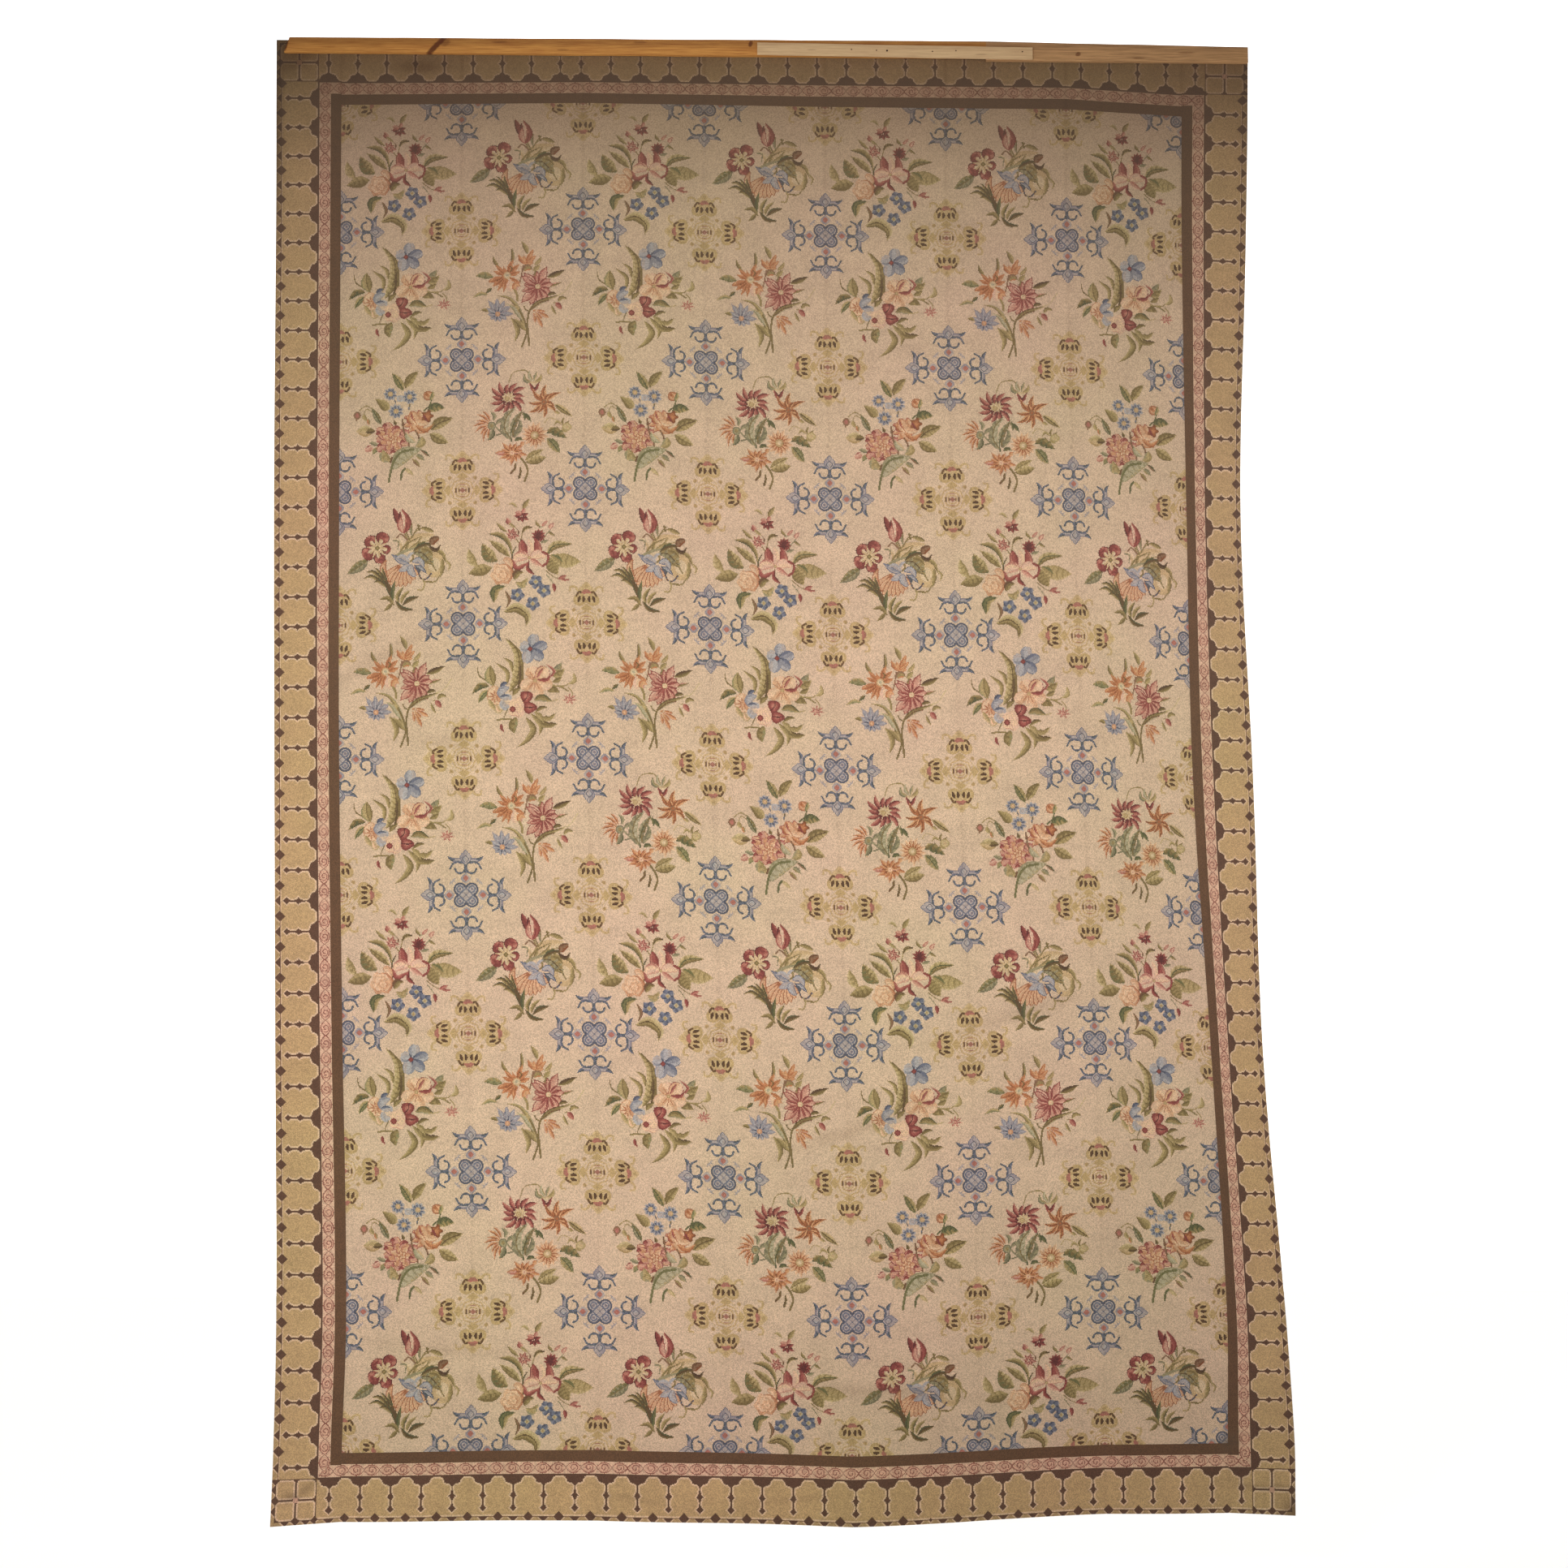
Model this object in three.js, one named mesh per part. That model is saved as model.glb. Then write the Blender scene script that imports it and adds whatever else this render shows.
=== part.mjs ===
// A woolwork carpet, worked in seven strips sewn edge to edge inside a four-piece border.
// It hangs face on from a timber batten of two lengths, spliced with a pale strip.
// Units are millimetres. +Z is up, +X is to the right, and the worked face looks along -Y.
// The origin is on the batten's flat top face, above the middle of the carpet.
import * as THREE from 'three';

// the carpet as it was made
const STRIP_COUNT = 7;
const STRIP_WIDTH = 457;
const FIELD_HEIGHT = 5000;
const SIDE_BORDER = 241;
const END_BORDER = 245;
const CLOTH_THICKNESS = 3;
const PIECE_GAP = 0.3;

// the batten
const TIMBER_THICKNESS = 22;
const TIMBER_LEFT = -1789;
const TIMBER_JOINT = 840;
const TIMBER_RIGHT = 1837;
const LEFT_END_SLANT = 20;
const LONG_TIMBER_HEIGHT = { left: 57, joint: 63 };
const SHORT_TIMBER_HEIGHT = { joint: 74, right: 60 };
const SHORT_TIMBER_DROP = 16;
const SPLICE_THICKNESS = 9;
const SPLICE_LEFT = -27;
const SPLICE_RIGHT = 1016;
const SPLICE_HEIGHT = 47;
const SPLICE_TOP = { left: -13, right: -26 };

// how finely the sheets are faceted
const CELLS_PER_STRIP = 4;
const ROWS_IN_FIELD = 40;
const SIDE_BORDER_CELLS = 2;
const TACKED_DEPTH = 60;
const END_BORDER_ROWS = 2;

const halfField = (STRIP_COUNT * STRIP_WIDTH) / 2;
const halfWidth = halfField + SIDE_BORDER;
const carpetHeight = FIELD_HEIGHT + 2 * END_BORDER;
const fieldBottom = END_BORDER + FIELD_HEIGHT;

// The long lines of the carpet, by their distance from its middle when it is laid flat.
const LINES = {
  left_edge: -halfWidth,
  field_left: -halfField,
  seam_1: -halfField + STRIP_WIDTH,
  seam_2: -halfField + 2 * STRIP_WIDTH,
  seam_4: -halfField + 4 * STRIP_WIDTH,
  seam_6: halfField - STRIP_WIDTH,
  field_right: halfField,
  right_edge: halfWidth,
};

// How far each long line drifts to the right as it hangs, at depths below the top edge.
const DRIFT = [
  { depth: 0, left_edge: 0, field_left: 5, seam_1: 0, seam_6: 2, field_right: -12, right_edge: 0 },
  { depth: 740, left_edge: 5, field_left: 6, seam_1: 2, seam_6: 2, field_right: -20, right_edge: -14 },
  { depth: 1740, left_edge: 10, field_left: 11, seam_1: 13, seam_6: 17, field_right: -17, right_edge: -47 },
  { depth: 2740, left_edge: 24, field_left: 22, seam_1: 27, seam_6: 39, field_right: -8, right_edge: -20 },
  { depth: 3740, left_edge: 40, field_left: 45, seam_1: 50, seam_6: 72, field_right: 43, right_edge: -5 },
  { depth: 4740, left_edge: 57, field_left: 71, seam_1: 74, seam_6: 90, field_right: 87, right_edge: 62 },
  { depth: 5240, left_edge: 52, field_left: 61, seam_1: 66, seam_6: 90, field_right: 82, right_edge: 88 },
  { depth: 5490, left_edge: 44, field_left: 58, seam_1: 64, seam_6: 90, field_right: 84, right_edge: 87 },
];

// How far the work is lifted on each long line, at the same depths; a sag is negative.
const LIFT = [
  { depth: 0, left_edge: -4, field_left: -4, seam_2: -4, seam_4: -4, seam_6: -8, field_right: -38, right_edge: -42 },
  { depth: 240, left_edge: -8, field_left: -8, seam_2: 5, seam_4: -5, seam_6: -9, field_right: -35, right_edge: -38 },
  { depth: 740, left_edge: 2, field_left: 3, seam_2: 20, seam_4: -1, seam_6: -16, field_right: -32, right_edge: -36 },
  { depth: 1740, left_edge: 10, field_left: 15, seam_2: 30, seam_4: -8, seam_6: -10, field_right: -42, right_edge: -44 },
  { depth: 2740, left_edge: 12, field_left: 13, seam_2: 19, seam_4: -29, seam_6: -34, field_right: -57, right_edge: -60 },
  { depth: 3740, left_edge: 8, field_left: 7, seam_2: 0, seam_4: -46, seam_6: -36, field_right: -57, right_edge: -60 },
  { depth: 4740, left_edge: 0, field_left: -3, seam_2: -6, seam_4: -50, seam_6: -16, field_right: -30, right_edge: -32 },
  { depth: 5240, left_edge: -12, field_left: -8, seam_2: -3, seam_4: -33, seam_6: 3, field_right: 7, right_edge: 2 },
  { depth: 5490, left_edge: -28, field_left: -8, seam_2: -10, seam_4: -40, seam_6: 0, field_right: 2, right_edge: -12 },
];

// Soft folds that stand towards the viewer: middle, direction in degrees, half length, half width, height.
const FOLDS = [
  { across: -1360, depth: 2290, angle: 32, length: 330, width: 130, height: 9 },
  { across: -1330, depth: 2720, angle: 8, length: 300, width: 110, height: 7 },
  { across: 150, depth: 4130, angle: 22, length: 420, width: 150, height: 10 },
  { across: 240, depth: 5080, angle: -4, length: 480, width: 120, height: 9 },
  { across: -1290, depth: 4790, angle: 3, length: 260, width: 120, height: 8 },
  { across: 980, depth: 3300, angle: 12, length: 420, width: 160, height: 7 },
  { across: -700, depth: 1250, angle: -14, length: 380, width: 170, height: 6 },
];

// Broad waves of the hanging sheet and of its free bottom edge.
const HANG_CLEARANCE = 2;
const STAND_OFF = 14;
const WAVE = { height: 7, length: 1650, turn: 0.6 };
const HEM_WAVE = { height: 15, length: 980, turn: 1.9 };
const EDGE_CURL = { depth: 1750, reach: 1300, back: 34 };

function ramp(value, from, to) {
  const part = Math.min(1, Math.max(0, (value - from) / (to - from)));
  return part * part * (3 - 2 * part);
}

// A smooth curve through one column of a table, read at a depth.
function readColumn(table, column, depth) {
  const last = table.length - 1;
  let row = 0;
  while (row < last - 1 && depth > table[row + 1].depth) {
    row += 1;
  }
  const slope = (index) => {
    const before = table[Math.max(0, index - 1)];
    const after = table[Math.min(last, index + 1)];
    return (after[column] - before[column]) / (after.depth - before.depth);
  };
  const start = table[row];
  const end = table[row + 1];
  const span = end.depth - start.depth;
  const t = Math.min(1, Math.max(0, (depth - start.depth) / span));
  const bend = t * t * (3 - 2 * t);
  const startPull = t * (1 - t) * (1 - t) * span * slope(row);
  const endPull = t * t * (t - 1) * span * slope(row + 1);
  return start[column] * (1 - bend) + end[column] * bend + startPull + endPull;
}

// A table read between the two long lines on either side of a place in the flat carpet.
function readTable(table, across, depth) {
  const columns = Object.keys(table[0]).filter((name) => name !== 'depth');
  let index = 0;
  while (index < columns.length - 2 && across > LINES[columns[index + 1]]) {
    index += 1;
  }
  const [from, to] = [columns[index], columns[index + 1]];
  const share = (across - LINES[from]) / (LINES[to] - LINES[from]);
  return readColumn(table, from, depth) * (1 - share) + readColumn(table, to, depth) * share;
}

function foldHeight(across, depth) {
  let height = 0;
  for (const fold of FOLDS) {
    const angle = THREE.MathUtils.degToRad(fold.angle);
    const right = across - fold.across;
    const up = fold.depth - depth;
    const along = right * Math.cos(angle) + up * Math.sin(angle);
    const beside = up * Math.cos(angle) - right * Math.sin(angle);
    height += fold.height * Math.exp(-((along / fold.length) ** 2) - (beside / fold.width) ** 2);
  }
  return height;
}

// How far the worked face lies behind the batten's middle plane.
function faceDepth(across, depth) {
  const tacked = TIMBER_THICKNESS / 2 + PIECE_GAP;
  const clear = HANG_CLEARANCE * ramp(depth, 0, TACKED_DEPTH);
  const standOff = STAND_OFF * ramp(depth, TACKED_DEPTH, 700);
  const wave = WAVE.height * Math.sin((2 * Math.PI * across) / WAVE.length + WAVE.turn + depth / 2600);
  const hem = HEM_WAVE.height * Math.sin((2 * Math.PI * across) / HEM_WAVE.length + HEM_WAVE.turn);
  const edge = ramp(across, halfField, halfWidth + SIDE_BORDER);
  const curl = EDGE_CURL.back * 2 * edge * Math.exp(-(((depth - EDGE_CURL.depth) / EDGE_CURL.reach) ** 2));
  const waves = wave * ramp(depth, 200, 1500) + hem * ramp(depth, 4300, carpetHeight);
  const folds = foldHeight(across, depth) * ramp(depth, 150, 700);
  return tacked + clear + standOff + waves + curl * ramp(depth, 150, 700) - folds;
}

// Where a place in the flat carpet lies once it hangs.
function hungPoint(across, depth) {
  return [
    across + readTable(DRIFT, across, depth),
    faceDepth(across, depth),
    -depth + readTable(LIFT, across, depth),
  ];
}

function spread(from, to, cells) {
  return Array.from({ length: cells + 1 }, (_, i) => from + ((to - from) * i) / cells);
}

// Each piece stops half a gap short of its neighbours.
function drawIn(places) {
  const last = places.length - 1;
  const inset = PIECE_GAP / 2;
  return places.map((place, i) => place + (i === 0 ? inset : 0) - (i === last ? inset : 0));
}

// A closed sheet over a grid of flat places, its back straight behind its face.
function sheetGeometry(acrossPlaces, depthPlaces) {
  const columns = acrossPlaces.length;
  const rows = depthPlaces.length;
  const layer = columns * rows;
  const positions = [];
  for (const behind of [0, CLOTH_THICKNESS]) {
    for (const depth of depthPlaces) {
      for (const across of acrossPlaces) {
        const [x, y, z] = hungPoint(across, depth);
        positions.push(x, y + behind, z);
      }
    }
  }
  const faces = [];
  const quad = (a, b, c, d) => faces.push(a, b, c, a, c, d);
  for (let r = 0; r < rows - 1; r += 1) {
    for (let c = 0; c < columns - 1; c += 1) {
      const corner = r * columns + c;
      quad(corner, corner + columns, corner + columns + 1, corner + 1);
      const behind = corner + layer;
      quad(behind, behind + 1, behind + columns + 1, behind + columns);
    }
  }
  const rim = [];
  for (let r = 0; r < rows - 1; r += 1) rim.push(r * columns);
  for (let c = 0; c < columns - 1; c += 1) rim.push((rows - 1) * columns + c);
  for (let r = rows - 1; r > 0; r -= 1) rim.push(r * columns + columns - 1);
  for (let c = columns - 1; c > 0; c -= 1) rim.push(c);
  rim.forEach((start, i) => {
    const end = rim[(i + 1) % rim.length];
    quad(start, start + layer, end + layer, end);
  });
  const geometry = new THREE.BufferGeometry();
  geometry.setAttribute('position', new THREE.Float32BufferAttribute(positions, 3));
  geometry.setIndex(faces);
  geometry.computeVertexNormals();
  return geometry;
}

// A timber: an outline in X and Z, run through its thickness from its front face.
function timberGeometry(outline, thickness, front) {
  const shape = new THREE.Shape(outline.map(([x, z]) => new THREE.Vector2(x, z)));
  const geometry = new THREE.ExtrudeGeometry(shape, { depth: thickness, bevelEnabled: false });
  geometry.rotateX(Math.PI / 2);
  geometry.translate(0, front + thickness, 0);
  return geometry;
}

function wool(colour) {
  return new THREE.MeshStandardMaterial({ color: colour, roughness: 0.95, metalness: 0 });
}

function timber(colour) {
  return new THREE.MeshStandardMaterial({ color: colour, roughness: 0.7, metalness: 0 });
}

const carpet = new THREE.Group();

function addPiece(name, geometry, material) {
  const mesh = new THREE.Mesh(geometry, material);
  mesh.name = name;
  carpet.add(mesh);
}

// the field's strips
const fieldRows = spread(END_BORDER, fieldBottom, ROWS_IN_FIELD);
for (let strip = 0; strip < STRIP_COUNT; strip += 1) {
  const left = -halfField + strip * STRIP_WIDTH;
  const columns = spread(left, left + STRIP_WIDTH, CELLS_PER_STRIP);
  addPiece(`field_strip_${strip + 1}`, sheetGeometry(drawIn(columns), drawIn(fieldRows)), wool(0xc4ad90));
}

// the end borders, between the corner squares
const fieldColumns = spread(-halfField, halfField, STRIP_COUNT * CELLS_PER_STRIP);
const topRows = [0, ...spread(TACKED_DEPTH, END_BORDER, END_BORDER_ROWS)];
const bottomRows = spread(fieldBottom, carpetHeight, END_BORDER_ROWS);
addPiece('border_top', sheetGeometry(drawIn(fieldColumns), drawIn(topRows)), wool(0x8d7050));
addPiece('border_bottom', sheetGeometry(drawIn(fieldColumns), drawIn(bottomRows)), wool(0xa98c62));

// the side borders, with the corner squares
const sideRows = [...topRows, ...fieldRows.slice(1), ...bottomRows.slice(1)];
const leftColumns = spread(-halfWidth, -halfField, SIDE_BORDER_CELLS);
const rightColumns = spread(halfField, halfWidth, SIDE_BORDER_CELLS);
addPiece('border_left', sheetGeometry(drawIn(leftColumns), drawIn(sideRows)), wool(0xa98c62));
addPiece('border_right', sheetGeometry(drawIn(rightColumns), drawIn(sideRows)), wool(0xa98c62));

// the batten, in front of the tacked top edge
const timberFront = -TIMBER_THICKNESS / 2;
const longOutline = [
  [TIMBER_LEFT, 0],
  [TIMBER_LEFT - LEFT_END_SLANT, -LONG_TIMBER_HEIGHT.left],
  [TIMBER_JOINT, -LONG_TIMBER_HEIGHT.joint],
  [TIMBER_JOINT, 0],
];
const shortOutline = [
  [TIMBER_JOINT + PIECE_GAP, 0],
  [TIMBER_JOINT + PIECE_GAP, -SHORT_TIMBER_HEIGHT.joint],
  [TIMBER_RIGHT, -SHORT_TIMBER_DROP - SHORT_TIMBER_HEIGHT.right],
  [TIMBER_RIGHT, -SHORT_TIMBER_DROP],
];
const spliceOutline = [
  [SPLICE_LEFT, SPLICE_TOP.left],
  [SPLICE_LEFT, SPLICE_TOP.left - SPLICE_HEIGHT],
  [SPLICE_RIGHT, SPLICE_TOP.right - SPLICE_HEIGHT],
  [SPLICE_RIGHT, SPLICE_TOP.right],
];
const spliceFront = timberFront - PIECE_GAP - SPLICE_THICKNESS;
addPiece('batten_long', timberGeometry(longOutline, TIMBER_THICKNESS, timberFront), timber(0x9c6a35));
addPiece('batten_short', timberGeometry(shortOutline, TIMBER_THICKNESS, timberFront), timber(0x8f6a45));
addPiece('batten_splice', timberGeometry(spliceOutline, SPLICE_THICKNESS, spliceFront), timber(0xc9a87c));

export default carpet;
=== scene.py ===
"""A woolwork carpet hung from a timber batten: seven worked strips in a four-piece border.

The needlework is charted below, one square for a stitch, and each mesh face holds
the wools of its own four by four stitches. Metres throughout, +Z up, the worked face looks
along -Y, and the origin is on the batten's top face above the middle of the carpet.
"""

import math

import bmesh
import bpy
import numpy as np
from mathutils import Matrix, Vector


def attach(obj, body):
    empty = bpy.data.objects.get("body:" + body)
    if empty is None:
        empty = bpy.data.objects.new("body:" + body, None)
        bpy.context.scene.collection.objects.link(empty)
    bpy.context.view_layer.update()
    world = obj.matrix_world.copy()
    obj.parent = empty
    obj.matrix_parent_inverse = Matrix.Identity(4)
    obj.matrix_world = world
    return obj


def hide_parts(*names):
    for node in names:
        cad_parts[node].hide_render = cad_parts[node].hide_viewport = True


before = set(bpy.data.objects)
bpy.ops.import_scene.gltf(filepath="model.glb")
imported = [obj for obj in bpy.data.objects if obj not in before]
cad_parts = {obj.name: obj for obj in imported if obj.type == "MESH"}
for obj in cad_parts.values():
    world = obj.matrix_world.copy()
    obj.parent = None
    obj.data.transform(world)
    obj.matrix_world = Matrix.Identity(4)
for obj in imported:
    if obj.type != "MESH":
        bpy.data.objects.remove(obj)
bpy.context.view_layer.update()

MM = 0.001

# Sizes, in millimetres, as the solids have them
STRIP_COUNT = 7
STRIP_WIDTH = 457
FIELD_HEIGHT = 5000
SIDE_BORDER = 241
END_BORDER = 245
CLOTH_THICKNESS = 3
PIECE_GAP = 0.3
HALF_FIELD = STRIP_COUNT * STRIP_WIDTH / 2
HALF_WIDTH = HALF_FIELD + SIDE_BORDER
CARPET_HEIGHT = FIELD_HEIGHT + 2 * END_BORDER
FIELD_BOTTOM = END_BORDER + FIELD_HEIGHT

# Counted stitches
STRIP_STITCHES = 152
FIELD_ACROSS = STRIP_COUNT * STRIP_STITCHES
FIELD_STITCHES = 1664
BORDER_STITCHES = 80
CELL = 4
REPEAT_MM = 500

# How the carpet hangs: the long lines' places, then their drift to the right and their lift
LINES = {
    "left_edge": -HALF_WIDTH,
    "field_left": -HALF_FIELD,
    "seam_1": -HALF_FIELD + STRIP_WIDTH,
    "seam_2": -HALF_FIELD + 2 * STRIP_WIDTH,
    "seam_4": -HALF_FIELD + 4 * STRIP_WIDTH,
    "seam_6": HALF_FIELD - STRIP_WIDTH,
    "field_right": HALF_FIELD,
    "right_edge": HALF_WIDTH,
}
DRIFT = {
    "depth": [0, 740, 1740, 2740, 3740, 4740, 5240, 5490],
    "left_edge": [0, 5, 10, 24, 40, 57, 52, 44],
    "field_left": [5, 6, 11, 22, 45, 71, 61, 58],
    "seam_1": [0, 2, 13, 27, 50, 74, 66, 64],
    "seam_6": [2, 2, 17, 39, 72, 90, 90, 90],
    "field_right": [-12, -20, -17, -8, 43, 87, 82, 84],
    "right_edge": [0, -14, -47, -20, -5, 62, 88, 87],
}
LIFT = {
    "depth": [0, 240, 740, 1740, 2740, 3740, 4740, 5240, 5490],
    "left_edge": [-4, -8, 2, 10, 12, 8, 0, -12, -28],
    "field_left": [-4, -8, 3, 15, 13, 7, -3, -8, -8],
    "seam_2": [-4, 5, 20, 30, 19, 0, -6, -3, -10],
    "seam_4": [-4, -5, -1, -8, -29, -46, -50, -33, -40],
    "seam_6": [-8, -9, -16, -10, -34, -36, -16, 3, 0],
    "field_right": [-38, -35, -32, -42, -57, -57, -30, 7, 2],
    "right_edge": [-42, -38, -36, -44, -60, -60, -32, 2, -12],
}
# Soft folds that stand towards the viewer: across, depth, angle, half length, half width, height
FOLDS = [
    (-1360, 2290, 32, 330, 130, 9),
    (-1330, 2720, 8, 300, 110, 7),
    (150, 4130, 22, 420, 150, 10),
    (240, 5080, -4, 480, 120, 9),
    (-1290, 4790, 3, 260, 120, 8),
    (980, 3300, 12, 420, 160, 7),
    (-700, 1250, -14, 380, 170, 6),
]
# Fine creases that only the looks need, in the same columns
CREASES = [
    (-1470, 2170, 34, 230, 22, 4.9),
    (-1380, 2330, 30, 300, 26, -4.6),
    (-1450, 2860, 6, 170, 16, 4.2),
    (-1210, 2690, -10, 150, 18, -3.8),
    (-260, 3420, 14, 210, 20, 4.2),
    (700, 3560, 10, 330, 24, 5.7),
    (860, 3640, 16, 300, 26, -4.9),
    (1180, 3500, 8, 240, 20, 4.6),
    (90, 3960, 28, 260, 26, 5.7),
    (230, 4060, 20, 320, 24, -5.7),
    (420, 4720, -24, 240, 22, 5.7),
    (120, 4930, 8, 330, 26, 5.7),
    (330, 5010, -6, 360, 24, -5.7),
    (-20, 5110, 3, 300, 20, 4.6),
    (700, 5330, 6, 260, 18, 4.9),
    (-940, 5380, -14, 200, 16, 4.6),
    (-300, 5330, 12, 240, 18, 4.9),
    (-1330, 4700, 4, 240, 20, 4.6),
    (-1230, 4880, -5, 260, 22, -4.2),
    (-760, 1180, -16, 260, 24, 3.8),
    (1250, 640, 12, 220, 24, 3.8),
]
# Stained and worn places: across, depth, angle, half length, half width, strength
STAINS = [
    (-1720, 5367, 42, 42, 15, 0.42),
    (-1790, 5398, 20, 34, 13, 0.35),
    (-1770, 5390, -30, 30, 8, 0.25),
    (1603, 5243, 40, 34, 22, 0.6),
    (1835, 5470, 40, 60, 34, 0.6),
    (1760, 5400, 6, 60, 9, 0.3),
    (1690, 5395, 4, 50, 8, 0.25),
    (-1838, 420, 90, 420, 20, 0.35),
    (-1790, 60, 20, 70, 50, 0.3),
    (-1300, 100, 0, 90, 26, 0.2),
    (40, 5400, 6, 130, 10, 0.2),
    (-560, 5410, -8, 110, 9, 0.18),
]
# How far the face lies behind the batten's middle, its waves and the curl of its right edge
TACKED = 11.3
TACKED_DEPTH = 60
HANG_CLEARANCE = 2
STAND_OFF = 14
STAND_OFF_DEPTH = 700
WAVE_HEIGHT, WAVE_LENGTH, WAVE_TURN, WAVE_LEAN = 7, 1650, 0.6, 2600
WAVE_START, WAVE_FULL = 200, 1500
HEM_HEIGHT, HEM_LENGTH, HEM_TURN, HEM_START = 15, 980, 1.9, 4300
CURL_BACK, CURL_DEPTH, CURL_REACH = 34, 1750, 1300
FOLD_START, FOLD_FULL = 150, 700
# Small unevenness that only the looks need
COCKLE_WAVES, COCKLE_SHARE = 9, 0.0011
SHORTEST_COCKLE, LONGEST_COCKLE = 110, 420
PUCKER_HEIGHT, PUCKER_REACH = 0.35, 14
SHORT_PUCKER, LONG_PUCKER = 11.0, 17.3
FINE_START, FINE_FULL = 60, 400
# How much the cloth is soiled and how much shade is painted on it, and over how many millimetres that fades
# Dust and painted shade that darken the cloth towards the top
DUST_AND_SHADE, DUST_AND_SHADE_REACH = 0.42, 1500
# A painted shadow just under the batten
BATTEN_SHADOW, BATTEN_SHADOW_REACH = 0.4, 380
SIDE_GRIME, HEM_GRIME, GRIME_REACH = 0.12, 0.1, 12
SEAM_SOIL, SEAM_SOIL_REACH = 0.07, 6
# Painted shade in the troughs of the creases
CREASE_SHADE = 0.03
MOST_SOIL_AND_SHADE = 0.95


def ramp(value, start, end):
    """A smooth rise from 0 at the start to 1 at the end."""
    part = np.clip((value - start) / (end - start), 0, 1)
    return part * part * (3 - 2 * part)


def read_column(table, name, depth):
    """A smooth curve through one column of a table."""
    places = np.array(table["depth"], float)
    values = np.array(table[name], float)
    last = len(places) - 1
    row = np.clip(np.searchsorted(places, depth) - 1, 0, last - 1)
    index = np.arange(last + 1)
    before = np.maximum(index - 1, 0)
    after = np.minimum(index + 1, last)
    slope = (values[after] - values[before]) / (places[after] - places[before])
    span = places[row + 1] - places[row]
    t = np.clip((depth - places[row]) / span, 0, 1)
    bend = t * t * (3 - 2 * t)
    pull = t * (1 - t) ** 2 * span * slope[row] + t * t * (t - 1) * span * slope[row + 1]
    return values[row] * (1 - bend) + values[row + 1] * bend + pull


def read_table(table, across, depth):
    """A table read on a grid of flat places: one row for each depth."""
    names = [name for name in table if name != "depth"]
    lines = np.array([LINES[name] for name in names])
    columns = np.stack([read_column(table, name, depth) for name in names], axis=1)
    index = np.clip(np.searchsorted(lines, across) - 1, 0, len(names) - 2)
    share = (across - lines[index]) / (lines[index + 1] - lines[index])
    return columns[:, index] * (1 - share) + columns[:, index + 1] * share


def fold_height(across, depth, folds=FOLDS):
    """How far a table's folds, creases or stains rise at a place on the flat cloth."""
    height = 0
    for middle, deep, angle, length, width, rise in folds:
        turn = math.radians(angle)
        right = across - middle
        up = deep - depth
        along = right * math.cos(turn) + up * math.sin(turn)
        beside = up * math.cos(turn) - right * math.sin(turn)
        height = height + rise * np.exp(-(along / length) ** 2 - (beside / width) ** 2)
    return height


def face_depth(across, depth):
    """How far the worked face lies behind the batten's middle plane."""
    clear = HANG_CLEARANCE * ramp(depth, 0, TACKED_DEPTH)
    stand_off = STAND_OFF * ramp(depth, TACKED_DEPTH, STAND_OFF_DEPTH)
    wave = WAVE_HEIGHT * np.sin(math.tau * across / WAVE_LENGTH + WAVE_TURN + depth / WAVE_LEAN)
    hem = HEM_HEIGHT * np.sin(math.tau * across / HEM_LENGTH + HEM_TURN)
    edge = ramp(across, HALF_FIELD, HALF_WIDTH + SIDE_BORDER)
    curl = CURL_BACK * 2 * edge * np.exp(-((depth - CURL_DEPTH) / CURL_REACH) ** 2)
    waves = wave * ramp(depth, WAVE_START, WAVE_FULL) + hem * ramp(depth, HEM_START, CARPET_HEIGHT)
    loose = ramp(depth, FOLD_START, FOLD_FULL)
    return TACKED + clear + stand_off + waves + curl * loose - fold_height(across, depth) * loose


def from_seam(across):
    """How far a place is from the nearest line between strips."""
    return np.abs((across + HALF_FIELD + STRIP_WIDTH / 2) % STRIP_WIDTH - STRIP_WIDTH / 2)


def cockle(across, depth):
    """Small unevenness of a soft cloth, and puckers beside the sewn lines."""
    random = np.random.default_rng(5)
    height = 0
    for _ in range(COCKLE_WAVES):
        angle = random.uniform(0, math.pi)
        length = random.uniform(SHORTEST_COCKLE, LONGEST_COCKLE)
        turn = random.uniform(0, math.tau)
        run = across * math.cos(angle) + depth * math.sin(angle)
        height = height + COCKLE_SHARE * length * np.sin(math.tau * run / length + turn)
    pucker = np.sin(depth / SHORT_PUCKER) + np.sin(depth / LONG_PUCKER + 1)
    return height + PUCKER_HEIGHT * pucker * np.exp(-(from_seam(across) / PUCKER_REACH) ** 2)


def soil_and_shade(across, depth):
    """How soiled and shaded the wool is, from 0 to 1: mostly towards the top, where dust has settled and
    shade is painted, with a painted shadow under the batten and painted shade in crease troughs.
    """
    # Dust and painted shade fading down from the top, and a painted shadow under the batten
    top_dust_and_shade = DUST_AND_SHADE * np.exp(-depth / DUST_AND_SHADE_REACH) + BATTEN_SHADOW * np.exp(-(depth / BATTEN_SHADOW_REACH) ** 2)
    from_side = HALF_WIDTH - np.abs(across)
    from_hem = CARPET_HEIGHT - depth
    grime = SIDE_GRIME * np.exp(-from_side / GRIME_REACH) + HEM_GRIME * np.exp(-from_hem / GRIME_REACH)
    # Painted shade in the troughs of the creases
    trough_shade = CREASE_SHADE * np.clip(-fold_height(across, depth, CREASES), 0, None)
    seam = SEAM_SOIL * np.exp(-(from_seam(across) / SEAM_SOIL_REACH) ** 2)
    return np.clip(top_dust_and_shade + grime + trough_shade + seam + fold_height(across, depth, STAINS), 0, MOST_SOIL_AND_SHADE)


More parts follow.
